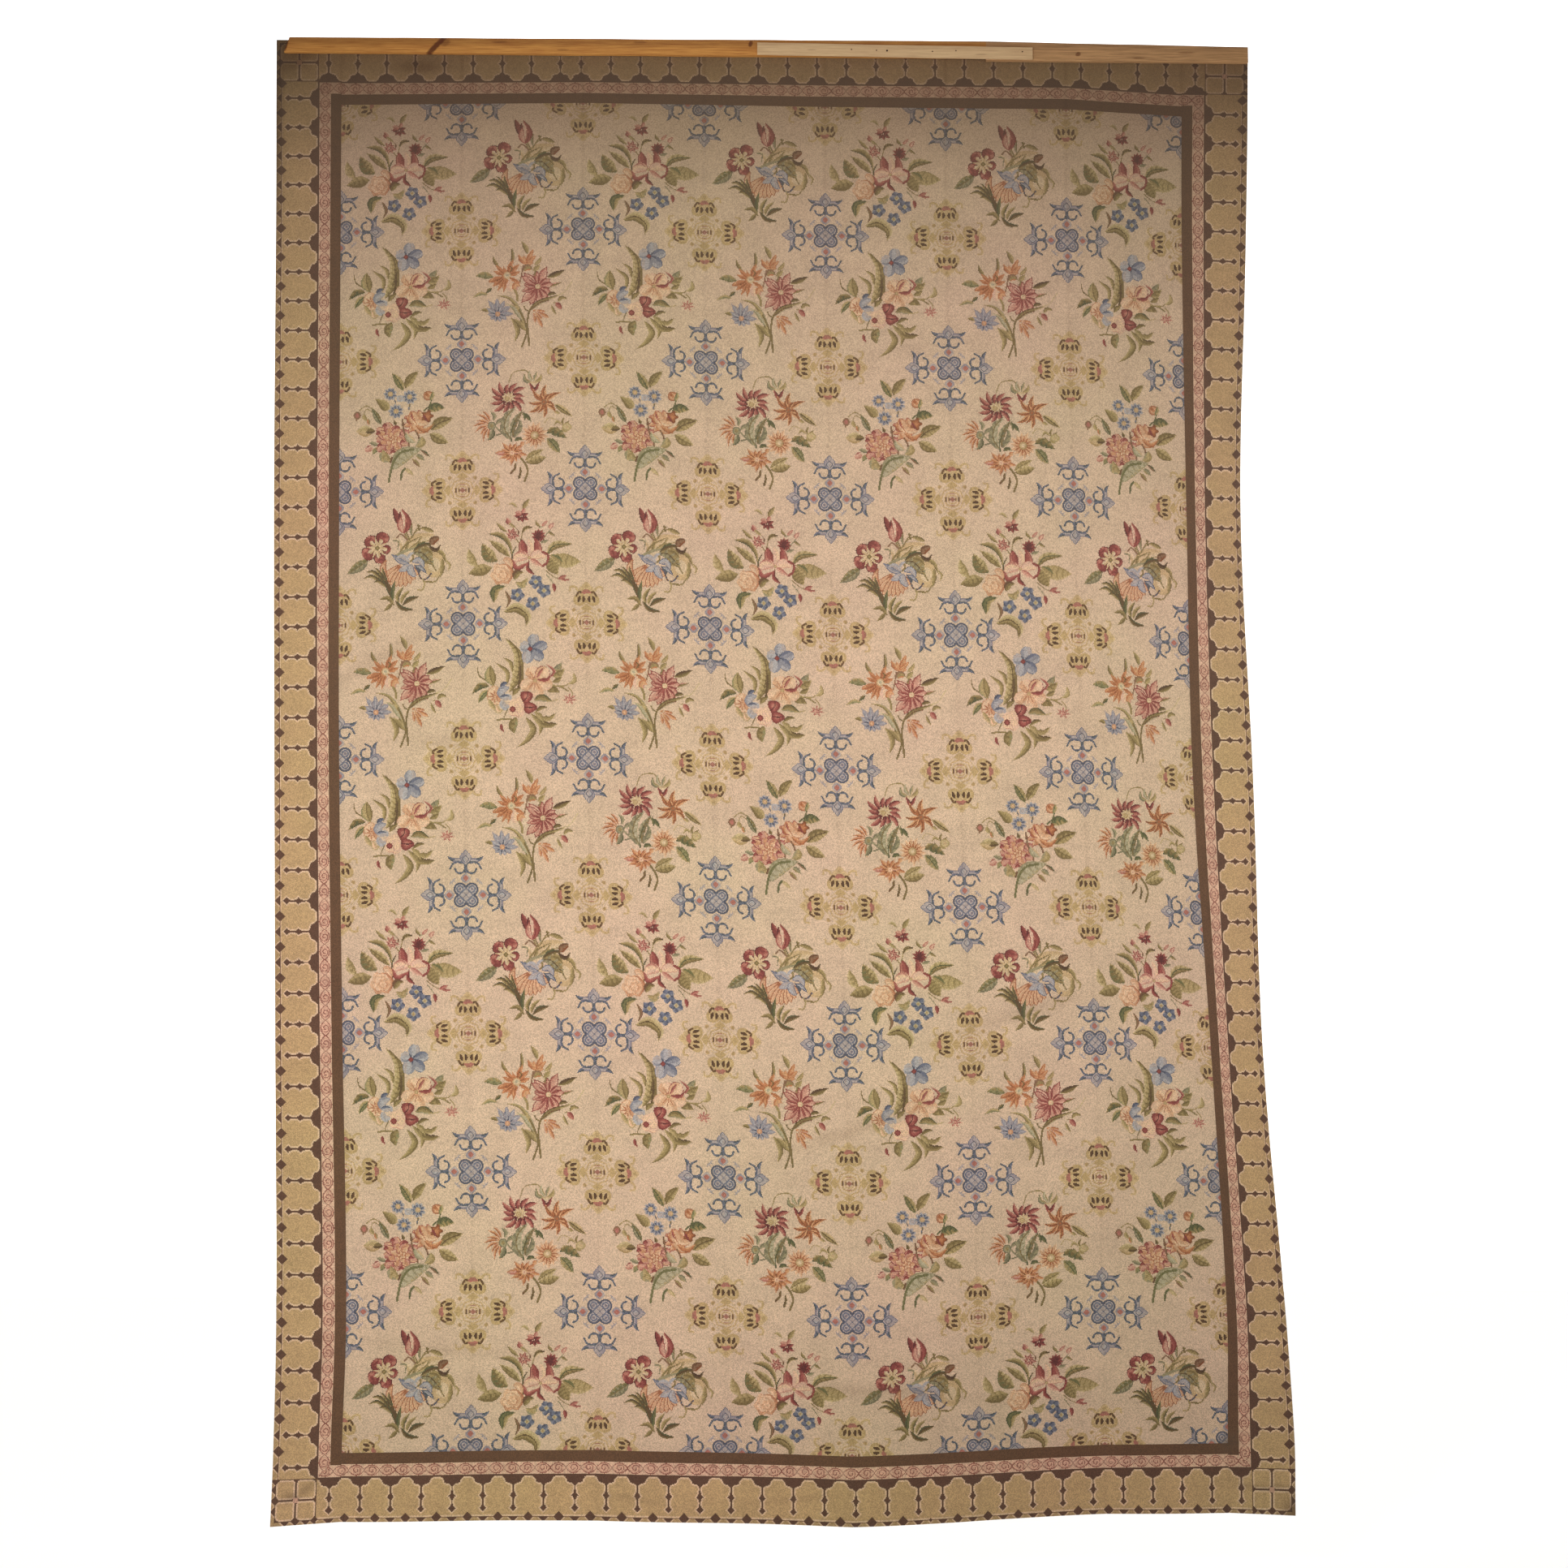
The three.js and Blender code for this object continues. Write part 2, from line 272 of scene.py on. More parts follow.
# Wools, dark to light in each family, as they look in even light
FAMILIES = {
    "ground": ["cfb49a"],
    "crimson": ["5c2b29", "7e3c37", "975048", "b07363"],
    "rose": ["8c4b43", "ab6b5e", "c4917d", "d5af98"],
    "peach": ["a5694a", "bd8966", "cda27f", "dcb999"],
    "rust": ["7f4a2c", "9e603d", "b87a52", "cb9a70"],
    "orange": ["9f6546", "ba8360", "cc9f7a"],
    "straw": ["a88c60", "c2a57c", "d2b998"],
    "blue": ["4f5363", "686b7c", "898890", "a9a4a5"],
    "mauve": ["79707a", "938a8f", "ada09b"],
    "teal": ["4a5257"],
    "olive": ["5e492e", "79663f", "958154", "ae986a", "c0ab80"],
    "green": ["545538", "6e6a44", "8b845c"],
    "sage": ["777056", "968c6b", "b0a588"],
    "brown": ["4e3626", "6a4a33", "86644a"],
    "stripe": ["64462f"],
    "pit": ["5e4030"],
    "tan": ["b6986c", "bf9f73", "c8aa80"],
    "outline": ["dabb9a"],
    "band": ["d8b399", "d2a78f"],
    "scroll": ["8f574a"],
    "khaki": ["a68b60", "b89c6d", "c5a97e"],
    "seed": ["5c4026"],
    "bar": ["a06a5a"],
    "faint": ["b8986b"],
}
WOOLS = [(name, shade) for name, shades in FAMILIES.items() for shade in shades]
EMPTY = 255


def wools(name, *picks):
    """The numbers of a family's wools: all of them, or those picked by their place."""
    first = [family for family, _ in WOOLS].index(name)
    return [first + pick for pick in picks or range(len(FAMILIES[name]))]


GROUND = wools("ground")[0]
CRIMSON = wools("crimson")
ROSE = wools("rose")
PEACH = wools("peach")
RUST = wools("rust")
ORANGE = wools("orange")
STRAW = wools("straw")
BLUE = wools("blue")
MAUVE = wools("mauve")
TEAL = wools("teal")[0]
OLIVE = wools("olive")
GREEN = wools("green")
SAGE = wools("sage")
BROWN = wools("brown")
TAN = wools("tan")
KHAKI = wools("khaki")


def smooth_line(points, steps=24):
    """Places on a smooth line through a few points, and each one's share of its length."""
    p = np.asarray(points, float)
    p = np.vstack([2 * p[0] - p[1], p, 2 * p[-1] - p[-2]])
    spans = len(points) - 1
    places = []
    for span in range(spans):
        a, b, c, d = p[span:span + 4]
        t = np.linspace(0, 1, steps, endpoint=span == spans - 1)[:, None]
        bend = (2 * a - 5 * b + 4 * c - d) * t ** 2 + (3 * b - a - 3 * c + d) * t ** 3
        places.append(b + ((c - a) * t + bend) / 2)
    line = np.vstack(places)
    length = np.concatenate([[0], np.cumsum(np.linalg.norm(np.diff(line, axis=0), axis=1))])
    return line, length / length[-1]


def outwards(middle, angle, reach, shares=(1.0,), sweep=0.0, squash=1.0):
    """Places outwards from a middle, on a line that sweeps round as it goes."""
    places = []
    for share in shares:
        bent = angle + sweep * share * share
        places.append((middle[0] + reach * share * math.cos(bent),
                       middle[1] + reach * share * math.sin(bent) * squash))
    return places


class Motif:
    """A small chart. Places are counted in stitches from its top left corner."""

    def __init__(self, width, height, seed):
        self.squares = np.full((height, width), EMPTY, np.uint8)
        self.random = np.random.default_rng(seed)

    def window(self, low, high):
        """The squares between two corners, and the places of their middles."""
        rows, columns = self.squares.shape
        left, top = (max(0, int(v)) for v in low)
        right = min(columns, int(high[0]) + 2)
        bottom = min(rows, int(high[1]) + 2)
        y, x = np.mgrid[top:bottom, left:right] + 0.5
        return self.squares[top:bottom, left:right], x, y

    def fill(self, squares, inside, level, shades):
        """Works the inside squares, the shade picked by a level from 0, dark, to 1, light."""
        grain = self.random.uniform(-0.06, 0.06, level.shape)
        pick = np.clip(((level + grain) * len(shades)).astype(int), 0, len(shades) - 1)
        squares[inside] = np.array(shades, np.uint8)[pick][inside]

    def leaf(self, spine, width, shades, tilt=0.8, fade=0.0, vein=None, edge=None,
             widest=0.45, blunt=1.0, teeth=0, ribs=0):
        """A leaf or petal on a spine from its base to its tip."""
        line, along = smooth_line(spine)
        reach = width / 2 + 1
        squares, x, y = self.window(line.min(0) - reach, line.max(0) + reach)
        off = np.stack([x, y], -1)[:, :, None, :] - line
        nearest = (off ** 2).sum(-1).argmin(-1)
        t = along[nearest]
        off = np.take_along_axis(off, nearest[:, :, None, None], 2)[:, :, 0]
        ahead = np.gradient(line, axis=0)[nearest]
        side = np.sign(ahead[..., 0] * off[..., 1] - ahead[..., 1] * off[..., 0])
        distance = side * np.sqrt((off ** 2).sum(-1))
        power = math.log(0.5) / math.log(widest)
        half = width / 2 * np.sin(np.pi * t ** power).clip(0) ** blunt
        if teeth:
            half = half * (0.78 + 0.3 * (1 - (t * teeth) % 1))
        inside = np.abs(distance) <= np.maximum(half, 0.3)
        level = 0.5 + tilt * 0.5 * distance / np.maximum(half, 1) + fade * (t - 0.5)
        if ribs:
            level = level - 0.3 * (((t * ribs - np.abs(distance) / width) % 1) < 0.35)
        self.fill(squares, inside, level, shades)
        if edge is not None:
            squares[inside & (half - np.abs(distance) < 1.1)] = edge
        if vein is not None:
            squares[inside & (np.abs(distance) < 0.7) & (t > 0.08) & (t < 0.88)] = vein

    def stem(self, points, width, shades, taper=0.0):
        """A stem or tendril of an even width, or one that tapers to its tip."""
        line, along = smooth_line(points)
        squares, x, y = self.window(line.min(0) - width, line.max(0) + width)
        off = np.stack([x, y], -1)[:, :, None, :] - line
        gap = (off ** 2).sum(-1)
        nearest = gap.argmin(-1)
        half = width / 2 * (1 - taper * along[nearest])
        inside = np.sqrt(gap.min(-1)) <= np.maximum(half, 0.55)
        self.fill(squares, inside, 0.5 + 0 * x, shades)

    def disc(self, middle, radius, shades, squash=1.0, lobes=0, lobe=0.12, turn=0.0, dark_rim=True):
        """A round form, its rim wavy if it has lobes, dark or light at the rim."""
        reach = radius * max(1, squash) * (1 + lobe)
        squares, x, y = self.window(np.array(middle) - reach, np.array(middle) + reach)
        right = x - middle[0]
        down = (y - middle[1]) / squash
        rim = radius * (1 + lobe * np.cos(lobes * np.arctan2(down, right) + turn) * (lobes > 0))
        share = np.hypot(right, down) / rim
        self.fill(squares, share <= 1, 1.05 - share if dark_rim else share, shades)

    def blossom(self, middle, radius, petals, width, shades, heart=None, turn=0.0, squash=1.0,
                start=0.12, uneven=0.0, sweep=0.0, **petal):
        """Petals round a heart: heart is its radius and its wools."""
        for number in range(petals):
            angle = math.tau * number / petals + turn
            reach = radius * (1 + uneven * math.sin(number * 2.4 + 1))
            places = outwards(middle, angle, reach, (start, 0.6, 1.0), sweep, squash)
            self.leaf(places, width, shades, **petal)
        if heart:
            self.disc(middle, heart[0], heart[1])

    def fan(self, middle, petals, shades, **petal):
        """Straight petals from one middle: each one's angle, reach and width."""
        for angle, reach, width in petals:
            self.leaf([middle] + outwards(middle, angle, reach), width, shades, **petal)

    def rose(self, middle, radius, shades, petals=6, rings=2.6, squash=1.0, turn=0.0, lit=2.4):
        """A full rose: curled rings of petals, lighter on the side that is lit."""
        reach = radius * max(1, squash) * 1.15
        squares, x, y = self.window(np.array(middle) - reach, np.array(middle) + reach)
        right = x - middle[0]
        down = (y - middle[1]) / squash
        angle = np.arctan2(down, right)
        rim = radius * (1 + 0.09 * np.cos(petals * angle + turn) + 0.04 * np.sin(3 * angle + turn))
        share = np.hypot(right, down) / rim
        petal = np.sin((petals - 1) * angle / 2 + 5 * share + turn)
        ring = (share * rings + 0.22 * petal + angle / math.tau) % 1
        light = 0.16 * np.cos(angle + lit) * share
        level = 0.30 + 0.62 * np.sqrt(ring) + light - 0.25 * (share > 0.9)
        self.fill(squares, share <= 1, level, shades)


def lily_bouquet():
    """A striped lily over forget-me-nots, with a peach rose."""
    m = Motif(160, 166, 11)
    m.leaf([(64, 17), (58, 12), (52, 13)], 3.5, OLIVE[2:])
    m.leaf([(70, 20), (74, 13), (79, 6)], 6, OLIVE[1:4], tilt=1)
    m.blossom((69, 28), 8.5, 7, 4.5, CRIMSON[:3], turn=0.5, uneven=0.15, fade=0.5)
    m.leaf([(69, 25), (61, 23)], 6, ROSE[1:3], blunt=0.7)
    m.leaf([(70, 24), (73, 18)], 5, ROSE[1:3], blunt=0.7)
    m.leaf([(54, 39), (52, 33), (50, 30)], 7, ROSE[:3], tilt=1)
    m.leaf([(53, 36), (58, 40), (62, 43)], 4, OLIVE[2:4])
    m.stem([(62, 43), (65, 47), (64, 54)], 1.3, BROWN[1:])
    m.blossom((57, 51), 8.5, 8, 3.4, ROSE[:3] + CRIMSON[1:2], turn=0.2, uneven=0.2, fade=-0.6)
    m.leaf([(51, 48), (45, 43), (37, 35)], 4.5, OLIVE[1:4])
    m.stem([(62, 56), (66, 62), (67, 60), (70, 49)], 1.2, OLIVE[1:3])
    m.leaf([(69, 50), (74, 43), (84, 42)], 4.5, OLIVE[1:4], vein=OLIVE[0])
    m.leaf([(92, 42), (88, 38), (86, 33)], 3.4, OLIVE[1:3])
    m.stem([(90, 43), (95, 41), (97, 39)], 1.3, SAGE[:2])
    m.leaf([(94, 41), (98, 37), (101, 34)], 4.2, ROSE[1:4], edge=ROSE[1])
    m.leaf([(104, 45), (105, 41), (109, 37)], 5.2, ROSE[2:4], edge=ROSE[1])
    m.leaf([(101, 48), (105, 50), (110, 53)], 3.2, OLIVE[1:3])
    m.stem([(95, 60), (99, 52), (105, 45)], 1.2, SAGE[:2])
    m.blossom((90, 53), 9, 11, 4, CRIMSON[:3], turn=0.1, fade=0.8, heart=(2.2, CRIMSON[:1]))
    m.leaf([(92, 61), (97, 60), (103, 58)], 4, SAGE[:2])
    m.leaf([(57, 82), (54, 64), (44, 52), (27, 49)], 7, GREEN[:1] + OLIVE[1:4], widest=0.62)
    m.leaf([(54, 79), (45, 69), (28, 57)], 10, OLIVE[1:5], vein=OLIVE[1], ribs=5)
    m.leaf([(39, 84), (28, 76), (20, 61)], 16, GREEN[1:2] + OLIVE[1:5], vein=OLIVE[1], ribs=5)
    m.leaf([(14, 90), (7, 82), (3, 68)], 11, OLIVE[2:5], ribs=4, tilt=-0.8)
    m.leaf([(32, 92), (18, 95), (3, 99)], 15, OLIVE[1:4], ribs=5, tilt=0.9)
    m.stem([(57, 93), (57, 76), (62, 66)], 2.2, GREEN[:1] + OLIVE[:1], taper=0.4)
    m.leaf([(99, 77), (110, 65), (132, 63)], 10, OLIVE[1:5], vein=GREEN[0], ribs=6, tilt=-0.9)
    m.leaf([(103, 77), (120, 84), (142, 86)], 18, OLIVE[2:5], ribs=6, tilt=0.4, widest=0.5)
    m.leaf([(104, 77), (113, 81), (120, 88)], 6, GREEN[1:2] + OLIVE[2:3])
    m.leaf([(102, 80), (107, 91), (113, 102)], 16, OLIVE[1:4], ribs=6, tilt=-0.5)
    m.stem([(98, 96), (108, 104), (116, 107)], 1.2, OLIVE[1:3])
    m.leaf([(113, 107), (119, 105), (124, 102)], 5.5, ROSE[:3])
    m.leaf([(116, 107), (122, 108), (128, 108)], 3.2, ROSE[:2])
    m.stem([(99, 101), (106, 110), (108, 115)], 1.2, SAGE[:2])
    m.leaf([(107, 112), (109, 118), (108, 123)], 5, CRIMSON[1:3])
    m.leaf([(78, 79), (71, 70), (69, 57)], 12, CRIMSON[1:4], edge=CRIMSON[1], blunt=0.6, tilt=-0.8)
    m.leaf([(80, 79), (88, 71), (87, 57)], 11, CRIMSON[1:4], edge=CRIMSON[1], blunt=0.6)
    m.leaf([(78, 79), (80, 68), (77, 56)], 8, ROSE[3:] + PEACH[3:], blunt=0.7)
    m.leaf([(77, 80), (67, 78), (58, 85)], 13, ROSE[3:] + PEACH[3:], blunt=0.6, edge=ROSE[2])
    m.leaf([(57, 82), (63, 93), (77, 86)], 6, CRIMSON[1:3] + ROSE[1:2], tilt=-0.9, blunt=0.7)
    m.leaf([(60, 76), (68, 73), (77, 78)], 3, ROSE[1:3])
    m.leaf([(79, 80), (89, 76), (99, 79)], 12, ROSE[3:] + PEACH[3:], blunt=0.6, edge=ROSE[2])
    m.stem([(94, 73), (101, 77), (100, 86), (94, 91)], 3, CRIMSON[1:3])
    m.leaf([(79, 81), (85, 86), (94, 91)], 7, ROSE[1:4], tilt=0.8, blunt=0.7)
    m.leaf([(78, 82), (76, 93), (84, 101)], 5, CRIMSON[0:3], blunt=0.7, widest=0.6)
    m.stem([(78, 80), (70, 82), (64, 84)], 1.1, ROSE[2:3])
    m.disc((78, 80), 1.8, STRAW[:2])
    m.leaf([(46, 82), (52, 84), (56, 94)], 9, PEACH[2:4], edge=PEACH[1], blunt=0.6)
    m.rose((44, 100), 13, PEACH[:4], turn=0.6, rings=2.3)
    m.leaf([(51, 88), (57, 99), (52, 112)], 4, PEACH[:2], tilt=0.8)
    m.leaf([(59, 107), (63, 99), (71, 98)], 9, BROWN[1:2] + OLIVE[1:3], tilt=1)
    m.leaf([(61, 110), (69, 114), (76, 105)], 8, OLIVE[2:4] + SAGE[1:2], ribs=3)
    for middle in ((86, 110), (96, 121), (63, 126), (82, 137)):
        m.blossom(middle, 9, 5, 8, BLUE[:3], heart=(2.8, SAGE[2:] + STRAW[:1]), turn=middle[0], blunt=0.55)
    m.leaf([(34, 135), (36, 120), (49, 115)], 11, GREEN[:2] + OLIVE[2:4], vein=GREEN[0], tilt=0.9)
    m.leaf([(48, 121), (53, 132), (49, 143)], 4, BROWN[1:] + OLIVE[1:2])
    m.leaf([(46, 147), (62, 142), (75, 152), (73, 166)], 13, OLIVE[1:5], tilt=-1, vein=OLIVE[0])
    return m, (72, 77)


def tulip_bouquet():
    """A dark anemone and a tilted tulip over a ribbed fan and a ruffled pale flower."""
    m = Motif(160, 140, 12)
    m.leaf([(82, 68), (98, 50), (123, 42)], 17, STRAW[1:], tilt=0.3)
    m.disc((121, 80), 13, STRAW[1:], squash=1.25)
    m.leaf([(80, 66), (81, 54), (71, 45)], 6, STRAW[1:], tilt=0.6)
    m.leaf([(82, 66), (88, 56), (87, 43)], 4, OLIVE[1:4])
    m.leaf([(86, 62), (98, 55), (106, 44)], 4.5, OLIVE[1:4])
    m.leaf([(88, 60), (103, 53), (116, 49)], 3.5, OLIVE[2:4])
    m.stem([(90, 46), (87, 38), (93, 30)], 1.8, OLIVE[1:3])
    m.stem([(84, 39), (90, 48), (99, 36), (103, 31)], 1.7, OLIVE[1:3])
    m.leaf([(94, 44), (92, 34), (93, 22)], 3.6, SAGE[:2] + OLIVE[1:2])
    m.leaf([(97, 40), (106, 34), (121, 39)], 6, OLIVE[1:4], tilt=1, widest=0.7)
    m.stem([(103, 36), (101, 30)], 2, OLIVE[1:2])
    m.stem([(75, 45), (80, 41), (88, 48)], 1.8, BROWN[1:] + OLIVE[1:2])
    m.stem([(78, 66), (86, 54), (105, 44)], 3, OLIVE[1:3], taper=0.6)
    m.stem([(70, 49), (77, 50), (76, 60)], 1.4, SAGE[:2])
    m.leaf([(82, 33), (76, 22), (71, 8)], 8, CRIMSON[:3], tilt=0.6, blunt=0.6)
    m.leaf([(84, 40), (89, 26), (81, 9)], 8, CRIMSON[1:4], tilt=-0.8, blunt=0.7)
    m.leaf([(81, 32), (79, 22), (79, 12)], 5, CRIMSON[:2], blunt=0.7)
    m.leaf([(84, 40), (79, 31), (80, 18)], 7.5, ROSE[1:4], tilt=0.9, blunt=0.8, edge=CRIMSON[2])
    m.leaf([(82, 30), (84, 21), (81, 12)], 3, ROSE[3:], blunt=0.8)
    m.leaf([(84, 39), (88, 33), (87, 24)], 4.5, CRIMSON[1:3])
    feathery = SAGE[:2] + OLIVE[2:4]
    m.leaf([(40, 72), (30, 80), (14, 90)], 13, SAGE[:2] + GREEN[1:2] + OLIVE[2:3], vein=OLIVE[1], ribs=5)
    anemone = (51, 58)
    petals = (-2.35, 19, 17), (-1.1, 22, 17), (0.15, 17, 12), (1.35, 20, 15), (2.6, 21, 18)
    m.fan(anemone, petals, CRIMSON[1:4], widest=0.66, blunt=0.5, edge=CRIMSON[0], ribs=3)
    m.blossom(anemone, 13, 5, 6.5, STRAW[1:], turn=-2.35, fade=0.4, blunt=0.8)
    m.blossom(anemone, 13.5, 5, 2.6, STRAW[1:], turn=-1.75)
    m.blossom(anemone, 12, 10, 1.2, CRIMSON[:1], turn=-2.05, start=0.45)
    m.disc(anemone, 2.6, OLIVE[1:3])
    m.stem([(75, 68), (85, 62), (100, 58)], 4.5, SAGE[:2] + OLIVE[2:3], taper=0.5)
    m.leaf([(94, 64), (106, 65), (121, 81)], 17, feathery, tilt=-0.5, teeth=5, ribs=5, vein=OLIVE[0])
    m.leaf([(95, 62), (106, 55), (121, 54)], 7, GREEN[:1] + OLIVE[:2], teeth=4)
    m.leaf([(104, 60), (113, 60), (120, 68)], 6, OLIVE[1:3], teeth=3, tilt=-0.8)
    m.leaf([(116, 60), (130, 65), (137, 80)], 5.5, OLIVE[1:4], tilt=-0.8, teeth=5)
    m.leaf([(131, 72), (131, 84), (128, 97)], 6, OLIVE[1:4], tilt=0.7, teeth=3)
    m.leaf([(134, 74), (140, 80), (138, 89)], 3, OLIVE[2:4])
    m.leaf([(117, 55), (120, 49), (127, 46)], 9, BROWN[1:3] + RUST[:1], blunt=0.5)
    m.leaf([(114, 56), (123, 62), (129, 55)], 5, BROWN[:1] + OLIVE[:1])
    m.stem([(94, 66), (95, 72), (90, 76)], 2.4, OLIVE[1:3])
    for number in range(9):
        angle = 2.42 - number * 0.225
        start = (84 + 5 * math.cos(angle), 74 + 4 * math.sin(angle))
        tip = (78 + 36 * math.cos(angle) * 0.78, 72 + 36 * math.sin(angle))
        m.leaf([start, tip], 7.5, PEACH[1:4], tilt=0.5, widest=0.7, blunt=0.6, edge=ORANGE[0])
    m.leaf([(62, 72), (58, 86), (66, 101)], 8, PEACH[1:4], edge=ORANGE[0], ribs=6)
    m.leaf([(90, 78), (80, 74), (68, 66)], 8, BLUE[1:3] + MAUVE[2:], tilt=-0.9, edge=BLUE[1])
    m.leaf([(91, 76), (82, 69), (73, 71)], 6, MAUVE[2:] + BLUE[3:], tilt=0.7)
    m.leaf([(92, 79), (84, 84), (77, 87)], 8.5, BLUE[3:] + MAUVE[2:], blunt=0.7, edge=BLUE[2])
    m.leaf([(93, 79), (92, 87), (98, 95)], 9, MAUVE[2:] + BLUE[3:], blunt=0.6, edge=BLUE[1])
    m.leaf([(94, 76), (103, 74), (108, 84)], 8, BLUE[3:] + MAUVE[2:], edge=BLUE[1], blunt=0.6)
    m.leaf([(96, 80), (105, 84), (112, 91)], 5.5, BLUE[2:4], edge=BLUE[0])
    m.leaf([(97, 83), (102, 86), (101, 92)], 4, [TEAL, BLUE[0]])
    m.leaf([(88, 72), (91, 67), (96, 64)], 4, BLUE[3:], blunt=0.8)
    m.stem([(101, 88), (105, 97), (112, 97), (117, 91)], 2.0, BLUE[:1] + BROWN[1:2])
    m.stem([(105, 70), (113, 78), (117, 78), (123, 87)], 1.6, OLIVE[1:3])
    m.stem([(109, 78), (116, 74), (115, 70)], 1.4, OLIVE[1:3])
    m.stem([(110, 101), (122, 101), (128, 93)], 2.6, OLIVE[1:3], taper=0.5)
    m.stem([(107, 98), (109, 104), (106, 111), (101, 111)], 2.0, OLIVE[2:4])
    for tip, bend, width in (((57, 81), (59, 92), 5), ((47, 82), (53, 88), 5.5), ((36, 88), (48, 89), 5.5),
                             ((33, 96), (46, 94), 5), ((46, 101), (54, 100), 5)):
        m.leaf([(65, 110), bend, tip], width, GREEN[:1] + OLIVE[:4], tilt=-0.9, widest=0.55)
    m.leaf([(70, 124), (66, 110), (58, 96)], 7, GREEN[:1] + OLIVE[:3])
    m.stem([(68, 120), (66, 108), (62, 100)], 3.6, GREEN[:1] + OLIVE[:2])
    m.leaf([(78, 128), (76, 118), (84, 106)], 5.5, GREEN[:1] + OLIVE[1:4], tilt=-0.8)
    m.leaf([(80, 129), (83, 119), (92, 111)], 5, OLIVE[1:4], tilt=-0.8)
    m.leaf([(70, 126), (70, 112), (73, 98)], 5, GREEN[:2])
    m.leaf([(82, 130), (90, 123), (103, 119)], 6.5, GREEN[:1] + OLIVE[:2], vein=OLIVE[0])
    m.leaf([(72, 130), (64, 121), (53, 123)], 6, OLIVE[1:3], teeth=3)
    m.leaf([(70, 126), (65, 132), (59, 137)], 5, OLIVE[1:3])
    m.leaf([(73, 124), (82, 134), (97, 136)], 5.5, GREEN[:1] + OLIVE[:2])
    return m, (80, 70)


